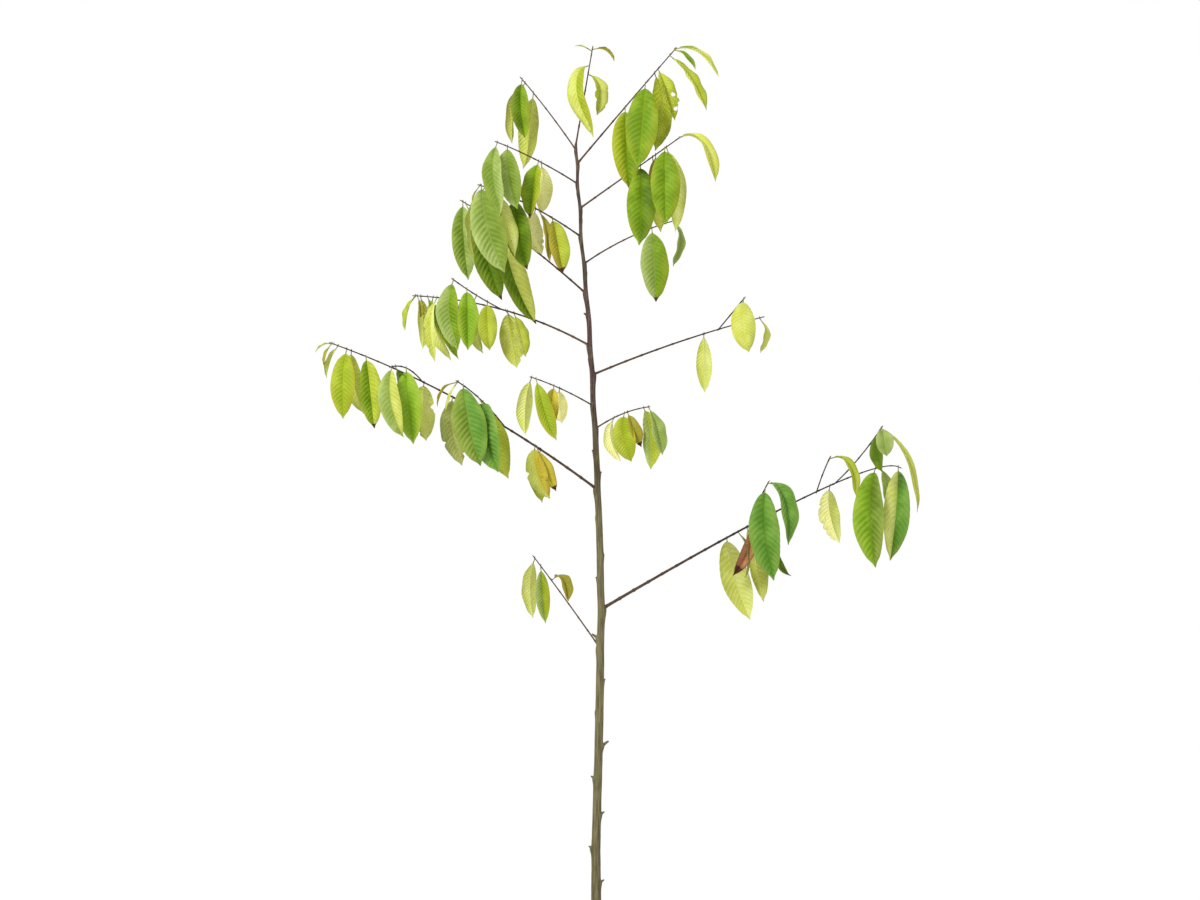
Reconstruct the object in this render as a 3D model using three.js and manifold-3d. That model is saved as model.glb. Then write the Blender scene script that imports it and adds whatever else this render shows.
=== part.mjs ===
// A young biriba tree in a plain nursery pot.
// Millimetres, Z up. The origin is the centre of the pot's flat underside, X runs to the right as the
// tree is first seen, and Y runs away from the viewer.

import * as THREE from 'three';
import { mergeVertices } from 'three/addons/utils/BufferGeometryUtils.js';
import Module from 'manifold-3d';

const wasm = await Module();
wasm.setup();

// Clearance between pieces that touch
const GAP = 0.3;

// Pot, a moulded tub with a rolled rim and drain holes round the edge of its floor
const POT_HEIGHT = 300;
const POT_BASE_RADIUS = 132;
const POT_TOP_RADIUS = 160;
const POT_WALL = 3.6;
const POT_FLOOR = 5;
const RIM_OVERHANG = 9;
const RIM_DEPTH = 24;
const POT_SIDES = 32;
const DRAIN_HOLES = 6;
const DRAIN_RADIUS = 9;
const DRAIN_CIRCLE = 98;
const DRAIN_SIDES = 12;

// Potting mix, level at the height where the trunk is cut off flat
const SOIL_LEVEL = 272;
const SOIL_DISH = 6;
const SOIL_FLAT = 0.8;

// Trunk from the soil to its fork: height, how far right of the pot's centre, and thickness
const TRUNK = [
  [SOIL_LEVEL, -6.5, 23], [400, -7.6, 20], [500, -8.2, 18.6], [600, -5.6, 17.4], [700, -2.8, 17],
  [800, -0.6, 16.6], [960, 2, 15], [1100, 0, 14], [1240, -4.8, 12.8], [1400, -13.5, 11],
  [1560, -22, 9.6], [1700, -35.5, 7.2], [1840, -44.5, 5.8], [1912, -48, 5.4],
];
const TRUNK_SWAY = 5;
const TRUNK_SIDES = 12;
const TRUNK_STEPS = 22;
const FLARE = 12;
const FLARE_HEIGHT = 22;
// Above 1, it sets the trunk's rings closer together towards the flare
const RING_CROWDING = 1.6;

// Shoots and leaves
const SHOOT_SIDES = 5;
const TWIG_SIDES = 4;
const TWIG_THICK = 2.6;
const TIP_THICK = 2.2;
const STEP_LENGTH = 34;
const COLLAR = 1.35;
const PETIOLE_THICK = 2.2;
const BLADE_RINGS = [0, 0.16, 0.45, 0.75, 0.93, 1];
const LEAF_SIDES = 4;
// How full the outline of a blade is, and how much and how late it is drawn in to its tip
const OUTLINE_FULLNESS = 0.65;
const TIP_DRAW = 0.3;
const TIP_START = 8;
const LEAF_THICK = 0.014;
const LEAF_THINNEST = 1.6;
const LEAF_LIFT = 50;
const LEAF_HANG = 94;
const MIDRIB_STEPS = 12;
const FOLD = [0.25, 0.6];
const TWIST = [-0.28, 0.28];
const PETIOLE = [8, 14];
const FIRST_SEED = 41;

// Each number of the seeded series is the one before it times the factor, modulo the length
const SERIES_FACTOR = 16807;
const SERIES_LENGTH = 2147483647;

// One entry for each shoot, lowest first. foot is the height where it leaves the trunk, tip is where
// it ends, bow is how far its middle arches over a straight line and peak where along it the arch is
// highest, thick is its thickness at the foot, and leafy lists the places, by X, where its bough ends
// and a mass of leaves begins. A leaf is the X where it springs, its length and width, the compass
// direction that its upper side faces (0 right, 90 away, 180 left, -90 towards the viewer), how far
// its tip drifts to the right, and, where they aren't the usual, its slopes below level at the base
// and at the tip.
const SHOOTS = [
  {
    name: 'left_1', foot: 902, tip: [-134, 125, 1083], bow: 2, thick: 3.2, leafy: [-84],
    leaves: [[-132, 116, 36, 115, 8], [-120, 108, 34, -85, 8], [-98, 72, 32, -50, 4, -30]],
  },
  {
    name: 'right_1', foot: 981, tip: [620, 310, 1264], bow: 31, peak: 0.9, thick: 6.4, leafy: [240, 434],
    leaves: [
      [257, 166, 64, 80, 44], [280, 92, 30, -15, -6], [298, 152, 50, 60, 18], [314, 104, 34, -90, -44],
      [318, 112, 38, -45, 46], [472, 114, 48, 100, 26], [568, 204, 78, -112, 14], [617, 192, 66, -95, -16],
      [580, 96, 32, 60, 14],
    ],
    twigs: [
      {
        from: 306, tip: [342, 140, 1234], bow: 6,
        leaves: [[336, 184, 72, -100, 24], [341, 156, 52, -60, 0, 0]],
      },
      { from: 444, tip: [470, 200, 1284], bow: 4, leaves: [[469, 112, 30, -40, 4, -15]] },
      {
        from: 482, tip: [578, 236, 1346], bow: -7,
        leaves: [[576, 60, 40, -80, 6, 20], [570, 74, 30, -110, 14], [577, 184, 28, -30, 26, 30]],
      },
    ],
  },
  {
    name: 'left_2', foot: 1220, tip: [-521, -275, 1507], bow: 25, thick: 5.4, leafy: [-116, -335],
    leaves: [
      [-126, 80, 34, -60, 28], [-118, 100, 40, 110, 14], [-129, 102, 44, -100, 34], [-290, 132, 50, -100, 26],
      [-345, 112, 54, 100, 8], [-456, 138, 52, -75, 10], [-483, 118, 44, 100, 28], [-492, 132, 50, -100, 0],
      [-508, 58, 24, 160, -10], [-516, 34, 20, 165, -2, -10, 50], [-520, 36, 14, -150, -4],
    ],
    twigs: [
      {
        from: -188, tip: [-279, -205, 1434], bow: 8,
        leaves: [
          [-230, 152, 68, -95, 38, 20], [-221, 138, 50, 70, 26], [-240, 134, 26, -30, 10],
          [-268, 158, 68, -80, 30], [-277, 54, 20, 170, -10, 10], [-278, 52, 14, -150, -12],
        ],
      },
      {
        from: -348, tip: [-406, -262, 1461], bow: 12,
        leaves: [[-378, 146, 58, -85, 14], [-404, 136, 52, -105, 30], [-398, 118, 44, 60, 12]],
      },
    ],
  },
  {
    name: 'right_2', foot: 1342, tip: [96, -141, 1385], bow: 7, thick: 3.2, leafy: [18],
    leaves: [
      [28, 82, 32, 125, 26], [48, 92, 52, -100, 18], [54, 66, 34, -60, 18], [86, 120, 50, 60, 0],
      [95, 90, 38, -50, 14],
    ],
  },
  {
    name: 'left_3', foot: 1388, tip: [-135, -165, 1443], bow: 4, thick: 3, leafy: [-70],
    leaves: [
      [-134, 108, 38, 120, 0], [-126, 116, 36, -70, 30], [-91, 88, 38, -100, -5], [-80, 64, 36, 100, 8],
    ],
  },
  {
    name: 'right_3', foot: 1450, tip: [330, 150, 1570], bow: 7, thick: 4.6, leafy: [194],
    leaves: [[210, 110, 34, 90, 2, 80], [324, 62, 26, -30, -18]],
    twigs: [{ from: 240, tip: [291, 92, 1606], bow: 0, leaves: [[290, 106, 52, -100, 14]] }],
  },
  {
    name: 'left_4', foot: 1508, tip: [-379, 190, 1615], bow: 22, peak: 0.45, thick: 4.4, leafy: [-164],
    leaves: [
      [-187, 112, 52, 80, 14], [-191, 78, 34, -10, 14], [-174, 84, 36, -60, 14], [-340, 122, 34, 110, 48],
      [-352, 126, 36, -60, 50], [-332, 126, 30, -120, 14], [-366, 104, 32, 80, 0], [-376, 44, 20, 180, -4],
      [-378, 66, 24, -140, -6], [-373, 38, 16, -60, 0],
    ],
    twigs: [
      {
        from: -198, tip: [-298, 128, 1646], bow: -3,
        leaves: [
          [-228, 96, 42, -90, 5], [-250, 112, 34, 125, 28],
          [-270, 122, 52, -85, 0], [-297, 138, 56, -115, 26],
        ],
      },
    ],
  },
  {
    name: 'left_5', foot: 1612, tip: [-279, 95, 1803], bow: 10, thick: 4, leafy: [-150],
    leaves: [
      [-277, 155, 54, -90, 12], [-272, 54, 20, -50, -8], [-250, 184, 60, -75, 42], [-198, 200, 60, -80, 62],
      [-172, 136, 36, 100, 28],
    ],
  },
  {
    name: 'right_4', foot: 1672, tip: [150, 148, 1766], bow: 9, peak: 0.45, thick: 3.4, leafy: [78],
    leaves: [[105, 146, 60, -85, 6], [148, 88, 30, -30, -22]],
  },
  {
    name: 'left_6', foot: 1726, tip: [-238, -95, 1824], bow: 10, thick: 3.6, leafy: [-84],
    leaves: [
      [-96, 108, 50, -70, 14], [-128, 86, 44, 110, 20], [-122, 100, 26, -50, 2], [-168, 140, 62, -90, 25],
      [-210, 128, 44, -50, 24], [-235, 172, 70, -85, 44], [-227, 150, 46, 175, 16], [-237, 26, 9, 200, -4],
    ],
  },
  {
    name: 'right_5', foot: 1783, tip: [157, -110, 1917], bow: 0, thick: 3.8, leafy: [66],
    leaves: [
      [80, 160, 62, -85, -4], [128, 152, 62, -90, 1], [104, 82, 26, 80, 2], [131, 162, 46, 60, 0],
      [110, 152, 44, 85, 8], [156, 130, 42, -35, 16, -20],
    ],
  },
  {
    name: 'left_7', foot: 1832, tip: [-204, -100, 1909], bow: 5, thick: 3.2, leafy: [-104],
    leaves: [
      [-203, 142, 48, -112, 24], [-183, 124, 50, -95, 22], [-122, 112, 50, -110, -8], [-117, 95, 40, 80, -4],
    ],
  },
  {
    name: 'right_6', foot: 1872, tip: [149, -90, 2094], bow: 1, thick: 3.8, leafy: [38],
    leaves: [
      [50, 160, 66, -90, 8], [90, 166, 68, -95, -12], [108, 150, 50, 60, -14], [115, 100, 46, -60, 22],
      [138, 130, 40, -30, 0, 38, 62], [148.5, 112, 30, -25, 0, -12, 58], [147, 62, 18, -50, 6, 10, 55],
    ],
  },
  {
    name: 'left_8', foot: 1899, tip: [-159, 80, 2050], bow: 4, thick: 3, leafy: [-118],
    leaves: [[-157, 115, 42, -100, 12], [-151, 118, 42, 150, -2], [-134, 145, 46, 100, -12]],
  },
];

// The leader carries on from the trunk's tip
const LEADER = {
  name: 'leader', tip: [-15, 6, 2104], bow: 0, thick: 3.4,
  leaves: [
    [-21, 170, 42, -125, 56, 10], [-24, 92, 38, -45, -10, 20], [-15.4, 46, 22, -10, 0, -10, 60],
    [-16, 26, 14, 175, 0, -35, 0],
  ],
};

const LOOKS = {
  pot: new THREE.MeshStandardMaterial({ color: 0x2b2c2b, roughness: 0.55, metalness: 0 }),
  mix: new THREE.MeshStandardMaterial({ color: 0x3b2a1e, roughness: 1, metalness: 0 }),
  trunk: new THREE.MeshStandardMaterial({ color: 0x7b7350, roughness: 0.85, metalness: 0 }),
  bough: new THREE.MeshStandardMaterial({ color: 0x6b4a35, roughness: 0.8, metalness: 0 }),
  leaves: new THREE.MeshStandardMaterial({ color: 0x7f9f2a, roughness: 0.5, metalness: 0 }),
};

let seed = FIRST_SEED;

// The next number between two ends, from a seeded series
function chance([low, high]) {
  seed = (seed * SERIES_FACTOR) % SERIES_LENGTH;
  return low + (high - low) * (seed / SERIES_LENGTH);
}

// A closed surface as a solid, with its shared points merged and faces of no area left out
function solid(geometry) {
  geometry.deleteAttribute('normal');
  geometry.deleteAttribute('uv');
  const merged = mergeVertices(geometry, 1e-4);
  const corners = merged.index.array;
  const faces = [];
  for (let i = 0; i < corners.length; i += 3) {
    const face = Array.from(corners.slice(i, i + 3));
    if (new Set(face).size === 3) faces.push(...face);
  }
  const vertProperties = merged.attributes.position.array;
  return new wasm.Manifold(new wasm.Mesh({ numProp: 3, vertProperties, triVerts: new Uint32Array(faces) }));
}

function piece(name, body, material) {
  const { vertProperties, triVerts } = body.getMesh();
  const geometry = new THREE.BufferGeometry();
  geometry.setAttribute('position', new THREE.BufferAttribute(vertProperties, 3));
  geometry.setIndex(new THREE.BufferAttribute(triVerts, 1));
  geometry.computeVertexNormals();
  const mesh = new THREE.Mesh(geometry, material);
  mesh.name = name;
  return mesh;
}

// A turned shape about the Z axis, from its profile of radius and height
function turned(profile) {
  const points = profile.map(([radius, height]) => new THREE.Vector2(radius, height));
  const geometry = new THREE.LatheGeometry(points, POT_SIDES);
  geometry.rotateX(Math.PI / 2);
  return solid(geometry);
}

function potBody() {
  const bead = RIM_OVERHANG / 3;
  const skirt = POT_HEIGHT - RIM_DEPTH;
  const slope = (POT_TOP_RADIUS - POT_BASE_RADIUS) / POT_HEIGHT;
  const outside = (height) => POT_BASE_RADIUS + slope * height;
  const tub = turned([
    [0, 0], [POT_BASE_RADIUS - bead, 0], [outside(bead), bead], [outside(skirt), skirt],
    [POT_TOP_RADIUS + RIM_OVERHANG - bead, skirt], [POT_TOP_RADIUS + RIM_OVERHANG, skirt + bead],
    [POT_TOP_RADIUS + RIM_OVERHANG, POT_HEIGHT - bead], [POT_TOP_RADIUS + RIM_OVERHANG - bead, POT_HEIGHT],
    [POT_TOP_RADIUS - POT_WALL, POT_HEIGHT], [outside(POT_FLOOR) - POT_WALL, POT_FLOOR], [0, POT_FLOOR],
  ]);
  let pot = tub;
  for (let i = 0; i < DRAIN_HOLES; i += 1) {
    const angle = (i + 0.5) * (2 * Math.PI / DRAIN_HOLES);
    const drill = new THREE.CylinderGeometry(DRAIN_RADIUS, DRAIN_RADIUS, POT_FLOOR * 3, DRAIN_SIDES);
    drill.rotateX(Math.PI / 2);
    drill.translate(DRAIN_CIRCLE * Math.cos(angle), DRAIN_CIRCLE * Math.sin(angle), 0);
    pot = pot.subtract(solid(drill));
  }
  return pot;
}

// The mix fills the tub, and its top dishes up a little to the pot's wall
function mixBody() {
  const slope = (POT_TOP_RADIUS - POT_BASE_RADIUS) / POT_HEIGHT;
  const inside = (height) => POT_BASE_RADIUS + slope * height - POT_WALL - GAP;
  const brim = SOIL_LEVEL - SOIL_DISH;
  const foot = POT_FLOOR + GAP;
  return turned([
    [0, foot], [inside(foot) - GAP, foot], [inside(brim), brim],
    [inside(brim) * SOIL_FLAT, SOIL_LEVEL], [0, SOIL_LEVEL],
  ]);
}

// A tapering limb: a cylinder bent along a curve, thick(u) across at the fraction u of its length
function limb(curve, thick, sides, steps) {
  const geometry = new THREE.CylinderGeometry(1, 1, 1, sides, steps);
  const frames = curve.computeFrenetFrames(steps, false);
  const position = geometry.attributes.position;
  for (let i = 0; i < position.count; i += 1) {
    const step = Math.round((position.getY(i) + 0.5) * steps);
    const radius = thick(step / steps) / 2;
    const point = curve.getPointAt(step / steps);
    point.addScaledVector(frames.binormals[step], position.getX(i) * radius);
    point.addScaledVector(frames.normals[step], position.getZ(i) * radius);
    position.setXYZ(i, point.x, point.y, point.z);
  }
  return solid(geometry);
}

// Centre and thickness of the trunk at a height
function trunkAt(height) {
  const above = Math.max(1, TRUNK.findIndex(([station]) => station >= height));
  const [low, high] = [TRUNK[above - 1], TRUNK[above]];
  const share = (height - low[0]) / (high[0] - low[0]);
  const sway = Math.sin(Math.PI * (height - SOIL_LEVEL) / (TRUNK.at(-1)[0] - SOIL_LEVEL));
  const centre = new THREE.Vector3(THREE.MathUtils.lerp(low[1], high[1], share), TRUNK_SWAY * sway, height);
  const flare = FLARE * Math.exp(-(height - SOIL_LEVEL) / FLARE_HEIGHT);
  return { centre, thick: THREE.MathUtils.lerp(low[2], high[2], share) + flare };
}

function trunkBody() {
  const foot = SOIL_LEVEL + GAP;
  const height = TRUNK.at(-1)[0] - foot;
  const level = (step) => foot + height * (step / TRUNK_STEPS) ** RING_CROWDING;
  const geometry = new THREE.CylinderGeometry(1, 1, 1, TRUNK_SIDES, TRUNK_STEPS);
  geometry.rotateX(Math.PI / 2);
  const position = geometry.attributes.position;
  for (let i = 0; i < position.count; i += 1) {
    const ring = trunkAt(level(Math.round((position.getZ(i) + 0.5) * TRUNK_STEPS)));
    const x = ring.centre.x + position.getX(i) * ring.thick / 2;
    const y = ring.centre.y + position.getY(i) * ring.thick / 2;
    position.setXYZ(i, x, y, ring.centre.z);
  }
  return solid(geometry);
}

// Part of a longer curve, between two fractions of its length
class Stretch extends THREE.Curve {
  constructor(whole, from, to) {
    super();
    this.whole = whole;
    this.from = from;
    this.to = to;
  }

  getPoint(u) {
    return this.whole.getPointAt(THREE.MathUtils.lerp(this.from, this.to, u));
  }
}

// An arching curve whose middle stands bow over the straight line from foot to tip
function arch(foot, tip, bow, peak = 0.5) {
  const top = foot.clone().lerp(tip, peak);
  top.z += 2 * bow;
  return new THREE.QuadraticBezierCurve3(foot, top, tip);
}

// The fraction of a curve's length where it crosses a given X
function crossing(curve, x) {
  let [low, high] = [0, 1];
  const outwards = Math.sign(curve.getPointAt(1).x - curve.getPointAt(0).x);
  for (let i = 0; i < 24; i += 1) {
    const middle = (low + high) / 2;
    if ((curve.getPointAt(middle).x - x) * outwards < 0) low = middle;
    else high = middle;
  }
  return low;
}

// The curve of a shoot from the bark of the trunk to its tip
function shootCurve(shoot) {
  const { centre, thick } = trunkAt(shoot.foot);
  const tip = new THREE.Vector3(...shoot.tip);
  const aim = arch(centre, tip, shoot.bow, shoot.peak).getTangentAt(0);
  const away = thick / 2 + GAP + shoot.thick * COLLAR / 2 * aim.z;
  const foot = centre.clone().addScaledVector(aim, away / Math.hypot(aim.x, aim.y));
  return arch(foot, tip, shoot.bow, shoot.peak);
}

function steps(curve) {
  return Math.max(2, Math.round(curve.getLength() / STEP_LENGTH));
}

// A leaf's midrib leaves its petiole at one slope and bends over until it hangs
function midribOf(leaf, root) {
  const [, length, , face, drift, lift = LEAF_LIFT, hang = LEAF_HANG] = leaf;
  const ahead = new THREE.Vector3(1, 0, 0).applyAxisAngle(new THREE.Vector3(0, 0, 1), face * Math.PI / 180);
  const points = [root.clone()];
  for (let i = 1; i <= MIDRIB_STEPS; i += 1) {
    const share = (i - 0.5) / MIDRIB_STEPS;
    const slope = THREE.MathUtils.degToRad(THREE.MathUtils.lerp(lift, hang, 1 - (1 - share) ** 2));
    const run = length / MIDRIB_STEPS;
    const next = points.at(-1).clone().addScaledVector(ahead, run * Math.cos(slope));
    next.z -= run * Math.sin(slope);
    next.x += drift / MIDRIB_STEPS * 2 * share;
    points.push(next);
  }
  return { curve: new THREE.CatmullRomCurve3(points), across: new THREE.Vector3(-ahead.y, ahead.x, 0) };
}

// Half the blade's breadth at the fraction u of its length: round at the base, drawn out at the tip
function breadth(width, u) {
  const outline = Math.sin(Math.PI * u) ** OUTLINE_FULLNESS;
  return width / 2 * outline * (1 - TIP_DRAW * u ** TIP_START);
}

// Splits each panel of a blade's lower sheet along the same diagonal as the panel over it. Split the other
// way, a panel that twists would cross the one over it.
function matchDiagonals(geometry) {
  const corners = geometry.index.array;
  const panel = 6;
  for (let i = 0; i < LEAF_SIDES * BLADE_RINGS.length; i += 1) {
    if (Math.floor(i / BLADE_RINGS.length) % 2 === 0) continue;
    const [a, b, d, , c] = corners.slice(i * panel, (i + 1) * panel);
    corners.set([a, b, c, a, c, d], i * panel);
  }
}

// A leaf as one closed form, from its petiole's foot in the middle of the twig to its tip. Each ring
// has an upper and a lower point at the midrib and a point at each margin. The blade is folded up
// along its midrib and twisted a little. spare makes the leaf thicker all over.
function leafBody(leaf, foot, habit, spare = 0) {
  const [, length, width] = leaf;
  const aim = midribOf(leaf, foot).curve.getTangentAt(0);
  const { curve, across } = midribOf(leaf, foot.clone().addScaledVector(aim, habit.petiole));
  const bladeThick = Math.max(LEAF_THINNEST, LEAF_THICK * length);
  const geometry = new THREE.CylinderGeometry(1, 1, 1, LEAF_SIDES, BLADE_RINGS.length);
  matchDiagonals(geometry);
  const position = geometry.attributes.position;
  for (let i = 0; i < position.count; i += 1) {
    const ring = Math.round((position.getY(i) + 0.5) * BLADE_RINGS.length);
    const u = ring === 0 ? 0 : BLADE_RINGS[ring - 1];
    const thick = (ring > 1 ? bladeThick : PETIOLE_THICK) + spare;
    const half = Math.max(breadth(width, u), PETIOLE_THICK / 2) + spare;
    const along = curve.getTangentAt(u);
    const side = across.clone().addScaledVector(along, -across.dot(along)).normalize();
    side.applyAxisAngle(along, habit.twist * u);
    const upper = along.clone().cross(side);
    const reach = position.getX(i) * (ring === 0 ? PETIOLE_THICK / 2 : half);
    const point = ring === 0 ? foot.clone() : curve.getPointAt(u);
    point.addScaledVector(side, reach * Math.cos(habit.fold));
    point.addScaledVector(upper, Math.abs(reach) * Math.sin(habit.fold) - position.getZ(i) * thick / 2);
    position.setXYZ(i, point.x, point.y, point.z);
  }
  return solid(geometry);
}

function meets(one, other) {
  const [a, b] = [one.boundingBox(), other.boundingBox()];
  const apart = [0, 1, 2].some((axis) => a.max[axis] < b.min[axis] || b.max[axis] < a.min[axis]);
  return !apart && !one.intersect(other).isEmpty();
}

// The wood of one shoot: its bough, and the stem and side twigs of each mass of leaves
function growShoot(shoot, curve, taper) {
  const cuts = (shoot.leafy ?? []).map((x) => crossing(curve, x));
  const gap = GAP / curve.getLength();
  const limbs = [];
  const masses = [];
  if (cuts.length > 0) {
    const bough = new Stretch(curve, 0, cuts[0] - gap);
    const collar = (u) => taper(u * cuts[0]) * (u === 0 ? COLLAR : 1);
    limbs.push({ name: `bough_${shoot.name}`, body: limb(bough, collar, SHOOT_SIDES, steps(bough)) });
  }
  const starts = cuts.length > 0 ? cuts : [0];
  starts.forEach((start, order) => {
    const end = starts[order + 1] ?? 1;
    const stem = new Stretch(curve, start, end === 1 ? 1 : end - gap);
    const within = (u) => u >= start && (u < end || end === 1);
    const body = limb(stem, (u) => taper(start + (end - start) * u), SHOOT_SIDES, steps(stem));
    const suffix = starts.length > 1 ? ['_inner', '_outer'][order] : '';
    const mass = { name: `leaves_${shoot.name}${suffix}`, body, places: [] };
    for (const leaf of shoot.leaves) {
      const u = crossing(curve, leaf[0]);
      if (within(u)) mass.places.push({ leaf, foot: curve.getPointAt(u) });
    }
    for (const twig of shoot.twigs ?? []) {
      const from = crossing(curve, twig.from);
      if (!within(from)) continue;
      const path = arch(curve.getPointAt(from), new THREE.Vector3(...twig.tip), twig.bow);
      mass.body = mass.body.add(limb(path, () => TWIG_THICK, TWIG_SIDES, steps(path)));
      for (const leaf of twig.leaves) {
        mass.places.push({ leaf, foot: path.getPointAt(crossing(path, leaf[0])) });
      }
    }
    masses.push(mass);
  });
  return { limbs, masses };
}

const trunk = { name: 'trunk', body: trunkBody() };
const limbs = [trunk];
const masses = [];

for (const shoot of SHOOTS) {
  const taper = (u) => THREE.MathUtils.lerp(shoot.thick, TIP_THICK, u ** 0.8);
  const grown = growShoot(shoot, shootCurve(shoot), taper);
  limbs.push(...grown.limbs);
  masses.push(...grown.masses);
}

const fork = trunkAt(TRUNK.at(-1)[0]).centre.add(new THREE.Vector3(0, 0, GAP));
const leader = arch(fork, new THREE.Vector3(...LEADER.tip), LEADER.bow);
masses.push(...growShoot(LEADER, leader, (u) => THREE.MathUtils.lerp(LEADER.thick, TIP_THICK, u)).masses);

// Leaves are fused to their own mass. One that would touch a limb or another mass is skipped.
for (const mass of masses) {
  const others = [...limbs, ...masses].filter((other) => other !== mass);
  for (const { leaf, foot } of mass.places) {
    const habit = { fold: chance(FOLD), twist: chance(TWIST), petiole: chance(PETIOLE) };
    const swept = leafBody(leaf, foot, habit, 2 * GAP);
    if (others.some((other) => meets(other.body, swept))) continue;
    mass.body = mass.body.add(leafBody(leaf, foot, habit));
  }
}

const pot = new THREE.Group();
pot.add(piece('pot', potBody(), LOOKS.pot));
pot.add(piece('potting_mix', mixBody(), LOOKS.mix));

const plant = new THREE.Group();
plant.add(...limbs.map(({ name, body }) => piece(name, body, name === 'trunk' ? LOOKS.trunk : LOOKS.bough)));
plant.add(...masses.map(({ name, body }) => piece(name, body, LOOKS.leaves)));

const tree = new THREE.Group();
tree.add(pot, plant);

export default tree;
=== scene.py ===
import math
from dataclasses import dataclass, field

import bmesh
import bpy
import numpy as np
from mathutils import Matrix, Vector, noise


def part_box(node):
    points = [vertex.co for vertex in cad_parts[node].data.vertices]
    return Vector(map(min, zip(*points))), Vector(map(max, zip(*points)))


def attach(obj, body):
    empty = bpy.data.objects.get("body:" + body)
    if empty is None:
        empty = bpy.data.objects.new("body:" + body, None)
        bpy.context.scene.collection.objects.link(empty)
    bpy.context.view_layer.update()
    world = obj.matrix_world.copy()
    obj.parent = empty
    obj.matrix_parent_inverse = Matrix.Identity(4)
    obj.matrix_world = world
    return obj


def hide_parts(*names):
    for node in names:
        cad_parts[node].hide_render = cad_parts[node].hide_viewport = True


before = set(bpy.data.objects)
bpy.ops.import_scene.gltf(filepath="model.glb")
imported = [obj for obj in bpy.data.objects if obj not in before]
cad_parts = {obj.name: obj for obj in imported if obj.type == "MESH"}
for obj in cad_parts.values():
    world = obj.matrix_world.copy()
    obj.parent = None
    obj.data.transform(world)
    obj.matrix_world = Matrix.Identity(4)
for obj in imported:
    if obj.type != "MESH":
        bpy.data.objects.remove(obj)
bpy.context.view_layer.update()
# The pot, the mix and the studio are measured in metres, as the frame is, and the plant in millimetres
MM = 0.001


# Finishes are written as sums and products of noise, and small helpers build the meshes.

def paint(code):
    """The linear colour of a six-figure colour code."""
    parts = [(code >> shift & 255) / 255 for shift in (16, 8, 0)]
    linear = [part / 12.92 if part <= 0.04045 else ((part + 0.055) / 1.055) ** 2.4 for part in parts]
    return (*linear, 1.0)


class Value:
    """One socket in a finish. Sums, products and powers of values add Math nodes."""

    def __init__(self, finish, socket):
        self.finish = finish
        self.socket = socket

    def maths(self, operation, *inputs):
        return self.finish.node("ShaderNodeMath", dict(enumerate(inputs)), operation=operation)

    def __add__(self, other):
        return self.maths("ADD", self, other)

    def __sub__(self, other):
        return self.maths("SUBTRACT", self, other)

    def __rsub__(self, other):
        return self.maths("SUBTRACT", other, self)

    def __mul__(self, other):
        return self.maths("MULTIPLY", self, other)

    def __pow__(self, other):
        return self.maths("POWER", self, other)

    def __abs__(self):
        return self.maths("ABSOLUTE", self)

    __radd__ = __add__
    __rmul__ = __mul__

    def rising(self, low, high):
        """0 where the value is at low, 1 where it is at high, and a smooth rise between."""
        sockets = {"Value": self, "From Min": low, "From Max": high}
        return self.finish.node("ShaderNodeMapRange", sockets, interpolation_type="SMOOTHSTEP")

    def part(self, axis):
        """One axis of a vector."""
        split = self.finish.node("ShaderNodeSeparateXYZ", {"Vector": self})
        return Value(self.finish, split.socket.node.outputs[axis])


class Finish:
    """A surface finish: the Principled shader and the nodes that feed it."""

    def __init__(self, name, **fixed):
        self.material = bpy.data.materials.new(name)
        self.material.use_nodes = True
        self.tree = self.material.node_tree
        self.shader = self.tree.nodes["Principled BSDF"]
        self.feed(**fixed)
        self.place = self.node("ShaderNodeTexCoord", {}, out="Object")

    def join(self, socket, value):
        if isinstance(value, Value):
            self.tree.links.new(value.socket, socket)
        else:
            socket.default_value = value

    def node(self, kind, sockets, out=0, **settings):
        made = self.tree.nodes.new(kind)
        for name, setting in settings.items():
            setattr(made, name, setting)
        for key, value in sockets.items():
            self.join(made.inputs[key], value)
        return Value(self, made.outputs[out])

    def feed(self, **sockets):
        """Sets the shader's own sockets, whose names have a space for each underscore."""
        for name, value in sockets.items():
            self.join(self.shader.inputs[name.replace("_", " ")], value)

    def grain(self, scale, detail, stretch=(1, 1, 1)):
        """Noise of that many features to a metre, longer where stretch is below 1."""
        spread = self.node("ShaderNodeMapping", {"Vector": self.place, "Scale": stretch})
        return self.node("ShaderNodeTexNoise", {"Vector": spread, "Scale": scale, "Detail": detail})

    def mix(self, share, *colours):
        """A mixture of two colours, each a value, a linear colour or a colour code."""
        first, second = (paint(colour) if isinstance(colour, int) else colour for colour in colours)
        return self.node("ShaderNodeMix", {0: share, 6: first, 7: second}, out=2, data_type="RGBA")

    def relief(self, height, distance, strength):
        sockets = {"Height": height, "Distance": distance, "Strength": strength}
        self.feed(Normal=self.node("ShaderNodeBump", sockets))


def two_tone(name, colours, rough, patches, bumps, depth, strength, spread=(0.35, 0.65)):
    """A dull finish in patches of two colours, with a finer grain that stands out."""
    finish = Finish(name, Metallic=0.0, Roughness=rough)
    finish.feed(Base_Color=finish.mix(finish.grain(*patches).rising(*spread), *colours))
    finish.relief(finish.grain(*bumps), depth, strength)
    return finish


def placed(name, data):
    """A new object in the scene, at the origin."""
    thing = bpy.data.objects.new(name, data)
    bpy.context.scene.collection.objects.link(thing)
    return thing


def made_piece(name, mesh, finishes, nodes=(), crease=50):
    """A finished piece that rides on the plant's one body."""
    for finish in finishes:
        mesh.materials.append(finish.material)
    mesh.shade_smooth()
    mesh.set_sharp_from_angle(angle=math.radians(crease))
    piece = placed(name, mesh)
    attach(piece, "root")
    if nodes:
        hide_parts(*nodes)
    return piece


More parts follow.
